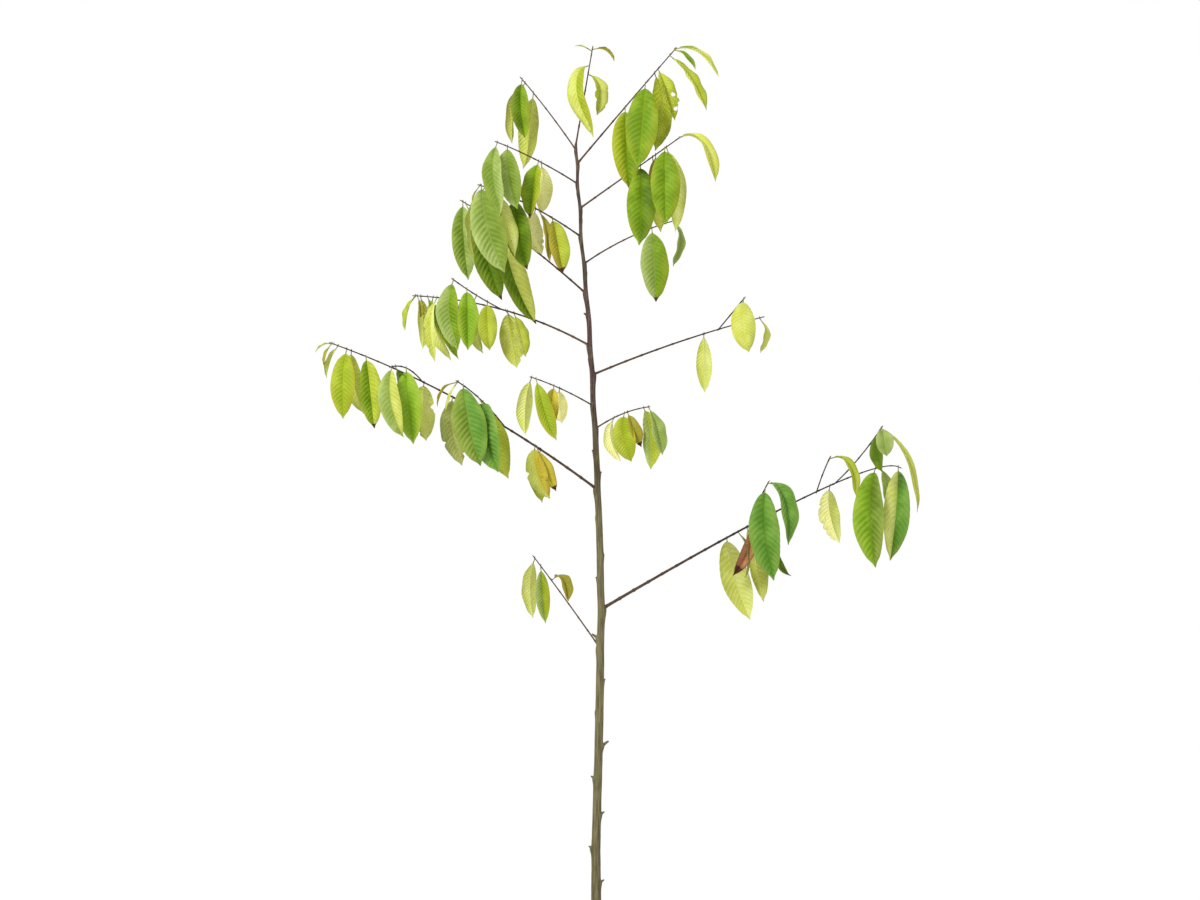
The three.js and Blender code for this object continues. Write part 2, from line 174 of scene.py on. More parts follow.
def mesh_from(bm, name):
    """The mesh of a bmesh. Its points and faces are put in order of place, the same in each run."""
    bmesh.ops.recalc_face_normals(bm, faces=bm.faces)
    points = sorted(bm.verts, key=lambda vert: vert.co.to_tuple())
    number = {vert: i for i, vert in enumerate(points)}
    faces = []
    for face in bm.faces:
        corners = [number[vert] for vert in face.verts]
        first = corners.index(min(corners)) if len(corners) > 4 else 0
        faces.append(corners[first:] + corners[:first])
    mesh = bpy.data.meshes.new(name)
    mesh.from_pydata([vert.co for vert in points], [], sorted(faces))
    bm.free()
    return mesh


def turned(profile, steps):
    """A bmesh turned about the pot's axis from a profile of radius and height."""
    bm = bmesh.new()
    verts = [bm.verts.new((radius, 0, height)) for radius, height in profile]
    edges = [bm.edges.new(pair) for pair in zip(verts, verts[1:])]
    bmesh.ops.spin(bm, geom=verts + edges, axis=(0, 0, 1), angle=2 * math.pi, steps=steps, use_merge=True)
    bmesh.ops.remove_doubles(bm, verts=bm.verts, dist=1e-6)
    return bm


def arc(centre, radius, start, end, steps=6):
    """Points on an arc in a profile, from one angle to another in degrees."""
    angles = [math.radians(start + (end - start) * i / steps) for i in range(steps + 1)]
    return [(centre[0] + radius * math.cos(a), centre[1] + radius * math.sin(a)) for a in angles]


# The pot is a nursery tub of black plastic, drawn thin from a mould with a rolled rim that stiffens its
# mouth. It tapers so that empty pots stack, and six holes near the edge of its floor let water out.

POT_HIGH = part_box("pot")[1]
POT_HEIGHT = POT_HIGH.z
RIM_RADIUS = POT_HIGH.x
MOUTH_RADIUS = RIM_RADIUS - 0.009
FOOT_RADIUS = 0.132
POT_WALL = 0.0036
POT_FLOOR = 0.005
RIM_DEPTH = 0.024
RIM_ROUND = 0.0035
FLOOR_ROUND = 0.006
SKIRT_ROUND = 0.002
FOOT_ROUND = 0.004
FOOT_BAND = 0.030
FOOT_STEP = 0.0012
BASE_RING = 0.018
BASE_RECESS = 0.0015
DRAIN_HOLES = 6
DRAIN_RADIUS = 0.009
DRAIN_CIRCLE = 0.098
POT_STEPS = 128
POT_SLOPE = (MOUTH_RADIUS - FOOT_RADIUS) / POT_HEIGHT


def pot_radius(height):
    """Outside radius of the pot's tapered wall."""
    return FOOT_RADIUS + POT_SLOPE * height


def pot_profile():
    skirt = POT_HEIGHT - RIM_DEPTH
    bead = RIM_RADIUS - RIM_ROUND
    inner = MOUTH_RADIUS - POT_WALL + RIM_ROUND
    corner = pot_radius(POT_FLOOR) - POT_WALL - FLOOR_ROUND
    return [
        (0, POT_FLOOR), (DRAIN_CIRCLE / 2, POT_FLOOR),
        *arc((corner, POT_FLOOR + FLOOR_ROUND), FLOOR_ROUND, -90, 0),
        (pot_radius(POT_HEIGHT / 2) - POT_WALL, POT_HEIGHT / 2),
        *arc((inner, POT_HEIGHT - RIM_ROUND), RIM_ROUND, 180, 90),
        *arc((bead, POT_HEIGHT - RIM_ROUND), RIM_ROUND, 90, 0),
        (RIM_RADIUS - 0.001, skirt + RIM_DEPTH / 2),
        *arc((bead, skirt + RIM_ROUND), RIM_ROUND, 0, -90),
        *arc((pot_radius(skirt) + SKIRT_ROUND, skirt - SKIRT_ROUND), SKIRT_ROUND, 90, 180, 3),
        (pot_radius(skirt * 0.5), skirt * 0.5),
        (pot_radius(FOOT_BAND), FOOT_BAND), (pot_radius(FOOT_BAND) - FOOT_STEP, FOOT_BAND - 0.002),
        (pot_radius(FOOT_ROUND) - FOOT_STEP, FOOT_ROUND),
        *arc((FOOT_RADIUS - FOOT_STEP - FOOT_ROUND, FOOT_ROUND), FOOT_ROUND, 0, -90, 4),
        (FOOT_RADIUS - BASE_RING + 0.002, 0), (FOOT_RADIUS - BASE_RING, BASE_RECESS), (0, BASE_RECESS),
    ]


def drilled(mesh, drill_mesh):
    """The mesh with a drill's shape cut out of it."""
    body, drill = placed("drilled_body", mesh), placed("drill", drill_mesh)
    cut = body.modifiers.new("holes", "BOOLEAN")
    cut.object = drill
    cut.operation = "DIFFERENCE"
    cut.solver = "EXACT"
    result = bpy.data.meshes.new_from_object(body.evaluated_get(bpy.context.evaluated_depsgraph_get()))
    for thing in (body, drill):
        bpy.data.objects.remove(thing)
    return result


def drain_drills():
    bm = bmesh.new()
    for i in range(DRAIN_HOLES):
        angle = (i + 0.5) * 2 * math.pi / DRAIN_HOLES
        place = Matrix.Translation((DRAIN_CIRCLE * math.cos(angle), DRAIN_CIRCLE * math.sin(angle), 0))
        bmesh.ops.create_cone(
            bm, cap_ends=True, segments=24, radius1=DRAIN_RADIUS, radius2=DRAIN_RADIUS,
            depth=POT_FLOOR * 4, matrix=place,
        )
    return mesh_from(bm, "drain_drills")


def pot_plastic():
    finish = Finish("pot_plastic", Metallic=0.0)
    streaks = finish.grain(40, 4, (1, 1, 0.12))
    scuffs = finish.grain(160, 5, (1, 1, 0.5)).rising(0.60, 0.72)
    height = finish.place.part("Z")
    dusty = (1 - height.rising(0.0, 0.11)) * streaks.rising(0.40, 0.62)
    splashed = height.rising(0.20, 0.29) * streaks.rising(0.50, 0.68) * 0.6
    plastic = finish.mix(streaks, 0x1F2120, 0x2C2E2C)
    worn = finish.mix(scuffs * 0.4, plastic, 0x55564F)
    dirty = finish.mix(dusty * 0.5 + splashed * 0.4, worn, 0x6A5A45)
    finish.feed(Base_Color=dirty, Roughness=0.42 + 0.18 * scuffs + 0.25 * dusty)
    finish.relief(finish.grain(900, 2) + 0.5 * scuffs, 0.0003, 0.5)
    return finish


made_piece(
    "nursery_pot", drilled(mesh_from(turned(pot_profile(), POT_STEPS), "nursery_pot"), drain_drills()),
    [pot_plastic()], ["pot"], crease=40,
)


# Potting mix fills the tub to a finger's breadth below its rim. It is peat and composted bark, dished up
# to the wall by watering, with loose chips of bark and grains of white perlite lying on it.

MIX_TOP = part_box("potting_mix")[1].z
MIX_DISH = 0.006
MIX_GAP = 0.0003
MIX_RINGS = 58
MIX_STEPS = 150
HEAP_AT_TRUNK = 0.004
MIX_MARGIN = 0.0015
MIX_SETTLED = 0.003
# Lumps, clods and crumbs: how far each stands out, and how many lie in a metre
MIX_RELIEF = ((0.0030, 28), (0.0022, 90), (0.0012, 300))
CHIP_TILT = 0.35


def mix_profile():
    edge = pot_radius(MIX_TOP) - POT_WALL - MIX_GAP - MIX_MARGIN
    rings = [(edge * i / MIX_RINGS, MIX_TOP) for i in range(MIX_RINGS + 1)]
    foot = pot_radius(POT_FLOOR) - POT_WALL - FLOOR_ROUND - 0.001
    return [*rings, (edge - 0.004, MIX_TOP - 0.03), (foot, POT_FLOOR + MIX_GAP), (0, POT_FLOOR + MIX_GAP)]


def mix_surface(x, y):
    """Height of the mix's top at a place: crumbs and hollows, dished towards the wall."""
    edge = pot_radius(MIX_TOP) - POT_WALL
    out = math.hypot(x, y) / edge
    dish = -MIX_DISH * max(0.0, out - 0.55) / 0.45
    heap = HEAP_AT_TRUNK * math.exp(-((out / 0.28) ** 2))
    spot = Vector((x, y, 0))
    lumps = sum(depth * noise.noise(spot * scale) for depth, scale in MIX_RELIEF)
    return MIX_TOP - MIX_SETTLED + dish + heap + lumps


def mix_body():
    bm = turned(mix_profile(), MIX_STEPS)
    for vert in bm.verts:
        if vert.co.z > MIX_TOP - 0.001:
            vert.co.z = mix_surface(vert.co.x, vert.co.y)
    return mesh_from(bm, "potting_mix_body")


def mix_finish():
    finish = Finish("peat_and_bark", Metallic=0.0)
    crumbs = finish.grain(420, 4)
    patches = finish.grain(60, 3)
    peat = finish.mix(patches.rising(0.4, 0.62), 0x2B1D14, 0x473223)
    fibres = finish.mix(crumbs.rising(0.58, 0.72) * 0.8, peat, 0x7A5C3F)
    finish.feed(Base_Color=fibres, Roughness=0.92 - 0.12 * patches)
    finish.relief(crumbs, 0.0012, 0.9)
    return finish


made_piece("mix_body", mix_body(), [mix_finish()], ["potting_mix"], crease=80)

# Chips and grains are scattered by one seeded rule, each a few faces, and joined.


def chip_shape():
    bm = bmesh.new()
    bmesh.ops.create_cube(bm, size=1, matrix=Matrix.Diagonal((1, 0.55, 0.26, 1)))
    bmesh.ops.subdivide_edges(bm, edges=bm.edges, cuts=1, use_grid_fill=True)
    for vert in bm.verts:
        vert.co *= 0.86 + 0.28 * noise.noise(vert.co * 3.1 + Vector((4, 1, 7)))
    return bm


def grain_shape():
    bm = bmesh.new()
    bmesh.ops.create_icosphere(bm, subdivisions=1, radius=0.5)
    for vert in bm.verts:
        vert.co *= 0.95 + 0.5 * noise.noise(vert.co * 2.7)
    return bm


def scattered(name, shape, count, sizes, seed, lift):
    """Copies of a small shape strewn over the mix, as one mesh. lift is a share of each one's size."""
    dice = np.random.default_rng(seed)
    pattern = bpy.data.meshes.new("pattern")
    shape.to_mesh(pattern)
    shape.free()
    corners = np.array([vert.co for vert in pattern.vertices])
    faces = [list(face.vertices) for face in pattern.polygons]
    edge = pot_radius(MIX_TOP) - POT_WALL - 0.006
    points, joined = [], []
    for _ in range(count):
        out = edge * math.sqrt(dice.uniform(0.03, 1))
        bearing = dice.uniform(0, 2 * math.pi)
        x, y = out * math.cos(bearing), out * math.sin(bearing)
        size = dice.uniform(*sizes)
        turn = Matrix.Rotation(dice.uniform(0, 2 * math.pi), 3, "Z")
        for axis in ("X", "Y"):
            turn = turn @ Matrix.Rotation(dice.normal(0, CHIP_TILT), 3, axis)
        stretch = np.array([1, dice.uniform(0.6, 1.3), dice.uniform(0.7, 1.2)])
        moved = (corners * stretch * size) @ np.array(turn).T
        joined += [[len(points) + corner for corner in face] for face in faces]
        points += list(moved + [x, y, mix_surface(x, y) + size * lift])
    mesh = bpy.data.meshes.new(name)
    mesh.from_pydata(points, [], joined)
    return mesh


CHIP_GRAIN = {"patches": (55, 2), "bumps": (1500, 3), "depth": 0.0003, "strength": 0.6}
made_piece(
    "bark_chips",
    scattered("bark_chips", chip_shape(), count=620, sizes=(0.004, 0.013), seed=5, lift=0.04),
    [two_tone("bark_chip", (0x3A2618, 0x76543A), 0.85, **CHIP_GRAIN)], crease=30,
)
made_piece(
    "perlite_grains",
    scattered("perlite_grains", grain_shape(), count=420, sizes=(0.0016, 0.0042), seed=9, lift=0.1),
    [two_tone("perlite", (0xC9C5BA, 0xEEECE4), 0.9, **CHIP_GRAIN)], crease=80,
)


# The trunk is one straight leader of smooth olive-brown bark, finely streaked, with a corky flare at the
# soil and a swelling, scar and dry stub at each place where a leaf or side shoot once grew.

SOIL_LEVEL = 272
# Height of each place on the trunk, how far right it stands and how thick it is
TRUNK = np.array([
    (SOIL_LEVEL, -6.5, 23), (400, -7.6, 20), (500, -8.2, 18.6), (600, -5.6, 17.4), (700, -2.8, 17),
    (800, -0.6, 16.6), (960, 2, 15), (1100, 0, 14), (1240, -4.8, 12.8), (1400, -13.5, 11),
    (1560, -22, 9.6), (1700, -35.5, 7.2), (1840, -44.5, 5.8), (1912, -48, 5.4),
])
TRUNK_TOP = TRUNK[-1, 0]
TRUNK_SWAY = 5
FLARE = 12
FLARE_HEIGHT = 22
TRUNK_AROUND = 44
TRUNK_RING = 3.0
# Height where the bark has become smooth, and how far below it the bark is at its roughest
BARK_SMOOTH = 1500
BARK_SPAN = 1200
# Streaks in the bark: how far each stands out, its grain across and along, and its seed
BARK_STREAKS = ((0.55, 5, 34, 3), (0.30, 1.9, 13, 8))
ROOT_RIDGES = 5
RIDGE_DEPTH = 1.3
# How far above and below a swelling reaches, at an old leaf's scar and under a bough
SCAR_REACH = (3.6, 11)
BOUGH_REACH = (5, 17)
BOUGH_BEND = 1.1
BEND_REACH = 26
STUB_STRETCH = 1.35
STUB_THICK = 3.6
STUB_SPREAD = 0.34
ARCH_POINTS = 201
# Share of a limb's length to either side of a place over which its heading is measured
NEARBY = 0.005
GAP = 0.3
COLLAR = 1.35
TIP_THICK = 2.2
TWIG_THICK = 2.6

# Height of each old leaf's place, its side (1 right, -1 left), how proud it swells, and its stub's length
SCARS = [
    (318, -1, 1.6, 2), (372, 1, 1.7, 3), (436, 1, 2.0, 6), (504, -1, 2.0, 5), (572, 1, 1.8, 6),
    (644, -1, 1.9, 5), (710, 1, 2.6, 10), (776, -1, 1.0, 0), (839, 1, 1.3, 3), (925, -1, 2.2, 9),
    (1043, -1, 1.3, 3), (1090, 1, 1.2, 2), (1165, -1, 0.9, 0), (1254, 1, 1.2, 3), (1297, -1, 1.1, 3),
    (1480, -1, 0.9, 2), (1570, -1, 1.1, 5), (1655, 1, 0.8, 2), (1760, 1, 0.7, 2), (1812, -1, 0.7, 2),
]


def unit(vectors):
    return vectors / np.linalg.norm(vectors, axis=-1, keepdims=True)


def trunk_at(height):
    """Centre and thickness of the trunk at a height, before its swellings."""
    sway = TRUNK_SWAY * np.sin(np.pi * (height - SOIL_LEVEL) / (TRUNK_TOP - SOIL_LEVEL))
    centre = np.stack([np.interp(height, TRUNK[:, 0], TRUNK[:, 1]), sway, height], axis=-1)
    flare = FLARE * np.exp(-(height - SOIL_LEVEL) / FLARE_HEIGHT)
    return centre, np.interp(height, TRUNK[:, 0], TRUNK[:, 2]) + flare


class Arch:
    """A limb's line: an arch whose middle stands bow over the straight, read by its share of length."""

    def __init__(self, foot, tip, bow, peak=0.5):
        top = foot + (tip - foot) * peak + np.array([0, 0, 2 * bow])
        t = np.linspace(0, 1, ARCH_POINTS)[:, None]
        self.line = (1 - t) ** 2 * foot + 2 * t * (1 - t) * top + t ** 2 * tip
        self.run = np.concatenate([[0], np.cumsum(np.linalg.norm(np.diff(self.line, axis=0), axis=1))])
        self.length = self.run[-1]

    def at(self, share):
        place = np.asarray(share) * self.length
        return np.stack([np.interp(place, self.run, self.line[:, axis]) for axis in range(3)], axis=-1)

    def heading(self, share):
        share = np.asarray(share)
        return unit(self.at(np.minimum(share + NEARBY, 1)) - self.at(np.maximum(share - NEARBY, 0)))

    def crossing(self, x):
        """The share of the length where the limb passes a place to the left or right."""
        outwards = np.sign(self.line[-1, 0] - self.line[0, 0])
        return np.interp(x * outwards, self.line[:, 0] * outwards, self.run) / self.length


@dataclass
class Leaf:
    """Where a leaf springs, its size and hang, and the tints of its halves as they are first seen. The two
    tints are partly painted light and shade, one side of the fold lit and the other shaded, and partly the
    paler underside where a half shows it.
    """
    spring: float
    length: float
    width: float
    face: float
    drift: float
    left: str
    right: str = ""
    lift: float = 50
    hang: float = 94
    tip: float = 0
    quilt: float = 1
    ragged: int = 0
    holes: int = 0
    curl: float = 0


@dataclass
class Twig:
    """A side twig: where it leaves its bough, where it ends, how it arches, and its leaves."""
    start: float
    tip: tuple
    bow: float
    leaves: list


@dataclass
class Shoot:
    """A bough and its leaves. leafy gives the places where its one or two masses of leaves begin."""
    name: str
    foot: float
    tip: tuple
    bow: float
    thick: float
    leafy: tuple
    leaves: list
    twigs: list = field(default_factory=list)
    peak: float = 0.5

    def line(self):
        """The bough's line, from the bark of the trunk to its tip."""
        centre, thick = trunk_at(self.foot)
        aim = Arch(centre, np.array(self.tip), self.bow, self.peak).heading(0)
        away = thick / 2 + GAP + self.thick * COLLAR / 2 * aim[2]
        start = centre + aim * away / math.hypot(aim[0], aim[1])
        return Arch(start, np.array(self.tip), self.bow, self.peak)


# Each leaf's two half tints are partly painted light and shade across its fold, and partly the paler
# underside where a half shows it.
SHOOTS = [
    Shoot("left_1", 902, (-134, 125, 1083), 2, 3.2, (-84,), [
        Leaf(-132, 116, 36, 115, 8, "pale"),
        Leaf(-120, 108, 34, -85, 8, "silver", "bright", quilt=1.2),
        Leaf(-98, 72, 32, -50, 4, "olive", lift=-30),
    ]),
    Shoot("right_1", 981, (620, 310, 1264), 31, 6.4, (240, 434), [
        Leaf(257, 166, 64, 80, 44, "straw", "pale"),
        Leaf(280, 92, 30, -15, -6, "drab"),
        Leaf(298, 152, 50, 60, 18, "lemon", "straw"),
        Leaf(314, 104, 34, -90, -44, "dead", tip=0.16, curl=0.2),
        Leaf(318, 112, 38, -45, 46, "deep", tip=0.06),
        Leaf(472, 114, 48, 100, 26, "cream", "pale", ragged=4),
        Leaf(568, 204, 78, -112, 14, "spring", "fresh", quilt=1.3),
        Leaf(617, 192, 66, -95, -16, "pale", "leek", quilt=0.6),
        Leaf(580, 96, 32, 60, 14, "silver"),
    ], [
        Twig(306, (342, 140, 1234), 6, [
            Leaf(336, 184, 72, -100, 24, "leek", quilt=0.9),
            Leaf(341, 156, 52, -60, 0, "leek", lift=0, quilt=0.8),
        ]),
        Twig(444, (470, 200, 1284), 4, [Leaf(469, 112, 30, -40, 4, "lime", lift=-15)]),
        Twig(482, (578, 236, 1346), -7, [
            Leaf(576, 60, 40, -80, 6, "silver", lift=20, curl=-0.6),
            Leaf(570, 74, 30, -110, 14, "deep"),
            Leaf(577, 184, 28, -30, 26, "straw", lift=30),
        ]),
    ], peak=0.9),
    Shoot("left_2", 1220, (-521, -275, 1507), 25, 5.4, (-116, -335), [
        Leaf(-126, 80, 34, -60, 28, "gold", tip=0.10),
        Leaf(-118, 100, 40, 110, 14, "lime"),
        Leaf(-129, 102, 44, -100, 34, "straw", "gold", ragged=3),
        Leaf(-290, 132, 50, -100, 26, "drab", ragged=6, holes=1),
        Leaf(-345, 112, 54, 100, 8, "straw", "pale", ragged=5),
        Leaf(-456, 138, 52, -75, 10, "green", "lime", tip=0.05, quilt=1.2),
        Leaf(-483, 118, 44, 100, 28, "straw"),
        Leaf(-492, 132, 50, -100, 0, "bright", quilt=1.1),
        Leaf(-508, 58, 24, 160, -10, "straw"),
        Leaf(-516, 34, 20, 165, -2, "pale", lift=-10, hang=50),
        Leaf(-520, 36, 14, -150, -4, "olive", tip=0.1),
    ], [
        Twig(-188, (-279, -205, 1434), 8, [
            Leaf(-230, 152, 68, -95, 38, "leek", lift=20, quilt=1.3),
            Leaf(-221, 138, 50, 70, 26, "lime"),
            Leaf(-240, 134, 26, -30, 10, "drab"),
            Leaf(-268, 158, 68, -80, 30, "fresh", "leek", quilt=1.5),
            Leaf(-277, 54, 20, 170, -10, "gold", lift=10),
            Leaf(-278, 52, 14, -150, -12, "straw"),
        ]),
        Twig(-348, (-406, -262, 1461), 12, [
            Leaf(-378, 146, 58, -85, 14, "spring", quilt=0.6),
            Leaf(-404, 136, 52, -105, 30, "silver", "straw", quilt=0.8),
            Leaf(-398, 118, 44, 60, 12, "deep"),
        ]),
    ]),
    Shoot("right_2", 1342, (96, -141, 1385), 7, 3.2, (18,), [
        Leaf(28, 82, 32, 125, 26, "cream"),
        Leaf(48, 92, 52, -100, 18, "lime", "bright"),
        Leaf(54, 66, 34, -60, 18, "olive", tip=0.12),
        Leaf(86, 120, 50, 60, 0, "silver", "lime"),
        Leaf(95, 90, 38, -50, 14, "silver"),
    ]),
    Shoot("left_3", 1388, (-135, -165, 1443), 4, 3, (-70,), [
        Leaf(-134, 108, 38, 120, 0, "pale"),
        Leaf(-126, 116, 36, -70, 30, "bright"),
        Leaf(-91, 88, 38, -100, -5, "olive", "gold", holes=1),
        Leaf(-80, 64, 36, 100, 8, "cream"),
    ]),
    Shoot("right_3", 1450, (330, 150, 1570), 7, 4.6, (194,), [
        Leaf(210, 110, 34, 90, 2, "straw", "pale", lift=80),
        Leaf(324, 62, 26, -30, -18, "straw", "lemon"),
    ], [
        Twig(240, (291, 92, 1606), 0, [Leaf(290, 106, 52, -100, 14, "lemon", "straw", quilt=0.6)]),
    ]),
    Shoot("left_4", 1508, (-379, 190, 1615), 22, 4.4, (-164,), [
        Leaf(-187, 112, 52, 80, 14, "straw", ragged=3),
        Leaf(-191, 78, 34, -10, 14, "pale"),
        Leaf(-174, 84, 36, -60, 14, "straw", "lime", ragged=2),
        Leaf(-340, 122, 34, 110, 48, "pale"),
        Leaf(-352, 126, 36, -60, 50, "green"),
        Leaf(-332, 126, 30, -120, 14, "straw", "pale", ragged=2),
        Leaf(-366, 104, 32, 80, 0, "straw"),
        Leaf(-376, 44, 20, 180, -4, "olive"),
        Leaf(-378, 66, 24, -140, -6, "lime"),
        Leaf(-373, 38, 16, -60, 0, "olive"),
    ], [
        Twig(-198, (-298, 128, 1646), -3, [
            Leaf(-228, 96, 42, -90, 5, "lime", quilt=1.2),
            Leaf(-250, 112, 34, 125, 28, "pale"),
            Leaf(-270, 122, 52, -85, 0, "spring", quilt=0.8),
            Leaf(-297, 138, 56, -115, 26, "silver", "green", quilt=1.6),
        ]),
    ], peak=0.45),
    Shoot("left_5", 1612, (-279, 95, 1803), 10, 4, (-150,), [
        Leaf(-277, 155, 54, -90, 12, "fresh", "silver", quilt=1.3),
        Leaf(-272, 54, 20, -50, -8, "gold"),
        Leaf(-250, 184, 60, -75, 42, "deep", tip=0.04, quilt=1.1),
        Leaf(-198, 200, 60, -80, 62, "deep", "straw", tip=0.03, quilt=0.7),
        Leaf(-172, 136, 36, 100, 28, "pale"),
    ]),
    Shoot("right_4", 1672, (150, 148, 1766), 9, 3.4, (78,), [
        Leaf(105, 146, 60, -85, 6, "silver", "green", tip=0.05),
        Leaf(148, 88, 30, -30, -22, "silver"),
    ], peak=0.45),
    Shoot("left_6", 1726, (-238, -95, 1824), 10, 3.6, (-84,), [
        Leaf(-96, 108, 50, -70, 14, "olive", "lime", tip=0.08),
        Leaf(-128, 86, 44, 110, 20, "cream", ragged=2),
        Leaf(-122, 100, 26, -50, 2, "olive"),
        Leaf(-168, 140, 62, -90, 25, "deep", tip=0.05, quilt=0.5),
        Leaf(-210, 128, 44, -50, 24, "straw", "pale"),
        Leaf(-235, 172, 70, -85, 44, "silver", "fresh", quilt=1.5),
        Leaf(-227, 150, 46, 175, 16, "silver"),
        Leaf(-237, 26, 9, 200, -4, "olive"),
    ]),
    Shoot("right_5", 1783, (157, -110, 1917), 0, 3.8, (66,), [
        Leaf(80, 160, 62, -85, -4, "green", "deep", quilt=0.6),
        Leaf(128, 152, 62, -90, 1, "green", quilt=0.7),
        Leaf(104, 82, 26, 80, 2, "olive"),
        Leaf(131, 162, 46, 60, 0, "pale"),
        Leaf(110, 152, 44, 85, 8, "lemon"),
        Leaf(156, 130, 42, -35, 16, "lemon", lift=-20),
    ]),
    Shoot("left_7", 1832, (-204, -100, 1909), 5, 3.2, (-104,), [
        Leaf(-203, 142, 48, -112, 24, "fresh", "silver", quilt=1.3),
        Leaf(-183, 124, 50, -95, 22, "silver", "fresh", quilt=1.1),
        Leaf(-122, 112, 50, -110, -8, "green", "bright", tip=0.06),
        Leaf(-117, 95, 40, 80, -4, "cream"),
    ]),
    Shoot("right_6", 1872, (149, -90, 2094), 1, 3.8, (38,), [
        Leaf(50, 160, 66, -90, 8, "bright", "green", quilt=0.8),
        Leaf(90, 166, 68, -95, -12, "green", quilt=0.8),
        Leaf(108, 150, 50, 60, -14, "lime"),
        Leaf(115, 100, 46, -60, 22, "lime", ragged=9, holes=5),
        Leaf(138, 130, 40, -30, 0, "lemon", "lime", lift=38, hang=62),
        Leaf(148.5, 112, 30, -25, 0, "lemon", lift=-12, hang=58),
        Leaf(147, 62, 18, -50, 6, "green", lift=10, hang=55),
    ]),
    Shoot("left_8", 1899, (-159, 80, 2050), 4, 3, (-118,), [
        Leaf(-157, 115, 42, -100, 12, "deep", "green"),
        Leaf(-151, 118, 42, 150, -2, "straw"),
        Leaf(-134, 145, 46, 100, -12, "straw"),
    ]),
]
LEADER = Shoot("leader", TRUNK_TOP, (-15, 6, 2104), 0, 3.4, (), [
    Leaf(-21, 170, 42, -125, 56, "straw", "bright", lift=10),
    Leaf(-24, 92, 38, -45, -10, "lime", "straw", lift=20, ragged=5),
    Leaf(-15.4, 46, 22, -10, 0, "olive", lift=-10, hang=60),
    Leaf(-16, 26, 14, 175, 0, "pale", lift=-32, hang=0, quilt=0.4),
])


def tubes(name, *rolls):
    """Closed tubes in one mesh. Each is a grid of so many steps around and along, rolled up by a rule
    that gives its points from arrays of angle and share of length."""
    bm = bmesh.new()
    for around, rings, surface in rolls:
        verts = bmesh.ops.create_grid(bm, x_segments=around, y_segments=rings, size=0.5)["verts"]
        flat = np.array([vert.co[:2] for vert in verts]) + 0.5
        for vert, point in zip(verts, surface(2 * np.pi * flat[:, 0], flat[:, 1])):
            vert.co = Vector(point) * MM
    bmesh.ops.remove_doubles(bm, verts=bm.verts, dist=1e-7)
    bmesh.ops.holes_fill(bm, edges=bm.edges)
    return mesh_from(bm, name)


def bark_noise(points, across, along, seed):
    """Noise that runs in streaks, of that grain in millimetres across and along the stem."""
    offset = Vector((seed, seed * 2, seed * 3))
    return np.array([
        noise.noise(Vector((x / across, y / across, z / along)) + offset) for x, y, z in points
    ])


def bulge(height, angle, at, bearing, proud, reaches):
    """A swelling on one side of the stem, with its own reach above and below."""
    reach = np.where(height > at, *reaches)
    facing = np.maximum(0, np.cos(angle - bearing)) ** 2
    return proud * np.exp(-((height - at) / reach) ** 2) * facing


def trunk_surface(angle, share):
    height = SOIL_LEVEL + (TRUNK_TOP + 0.5 - SOIL_LEVEL) * share
    centre, thick = trunk_at(height)
    outwards = np.stack([np.cos(angle), np.sin(angle), np.zeros_like(angle)], axis=-1)
    radius = thick / 2
    bark = centre + outwards * radius[:, None]
    age = np.clip((BARK_SMOOTH - height) / BARK_SPAN, 0.15, 1)
    radius = radius + age * sum(depth * bark_noise(bark, *grain) for depth, *grain in BARK_STREAKS)
    roots = np.exp(-(height - SOIL_LEVEL) / FLARE_HEIGHT)
    radius = radius + RIDGE_DEPTH * roots * np.cos(ROOT_RIDGES * angle + 0.7)
    radius = radius + 0.6 * roots * bark_noise(bark, 4, 9, 5)
    for at, side, proud, _ in SCARS:
        radius = radius + bulge(height, angle, at, 0 if side > 0 else np.pi, 1.4 * proud, SCAR_REACH)
    for shoot in SHOOTS:
        aim = shoot.line().heading(0)
        proud = 0.45 * shoot.thick + 0.8
        bearing = math.atan2(aim[1], aim[0])
        radius = radius + bulge(height, angle, shoot.foot, bearing, proud, BOUGH_REACH)
        bend = BOUGH_BEND * np.exp(-((height - shoot.foot) / BEND_REACH) ** 2)
        centre = centre + bend[:, None] * np.array([aim[0], aim[1], 0])
    return centre + outwards * radius[:, None]


def pointing(root, aim, ahead):
    """The place of a form that points one way from its root, with its middle that far ahead."""
    turn = Vector(aim).to_track_quat("Z", "Y").to_matrix().to_4x4()
    return Matrix.Translation(Vector(root) * MM) @ turn @ Matrix.Translation((0, 0, ahead * MM))


def stub(bm, root, aim, length, thick):
    """The dry stub of an old shoot: a short cone with a rounded, broken end."""
    made = bmesh.ops.create_cone(
        bm, cap_ends=True, segments=9, radius1=thick / 2 * MM, radius2=thick / 4 * MM,
        depth=length * MM, matrix=pointing(root, aim, length / 2),
    )
    tops = {face for vert in made["verts"] for face in vert.link_faces if len(face.verts) > 4}
    bmesh.ops.bevel(
        bm, geom=list({edge for face in tops for edge in face.edges}), offset=thick / 10 * MM,
        segments=2, profile=0.5, affect="EDGES", material=-1,
    )


def trunk_stubs():
    bm = bmesh.new()
    for at, side, proud, length in SCARS:
        if length == 0:
            continue
        centre, thick = trunk_at(float(at))
        root = centre + np.array([side * (thick / 2 + proud * 0.7 - 1.5), 0, 0])
        stub(bm, root, (side, 0.1, 0.7), length * STUB_STRETCH, STUB_THICK + STUB_SPREAD * length)
    return mesh_from(bm, "trunk_stubs")


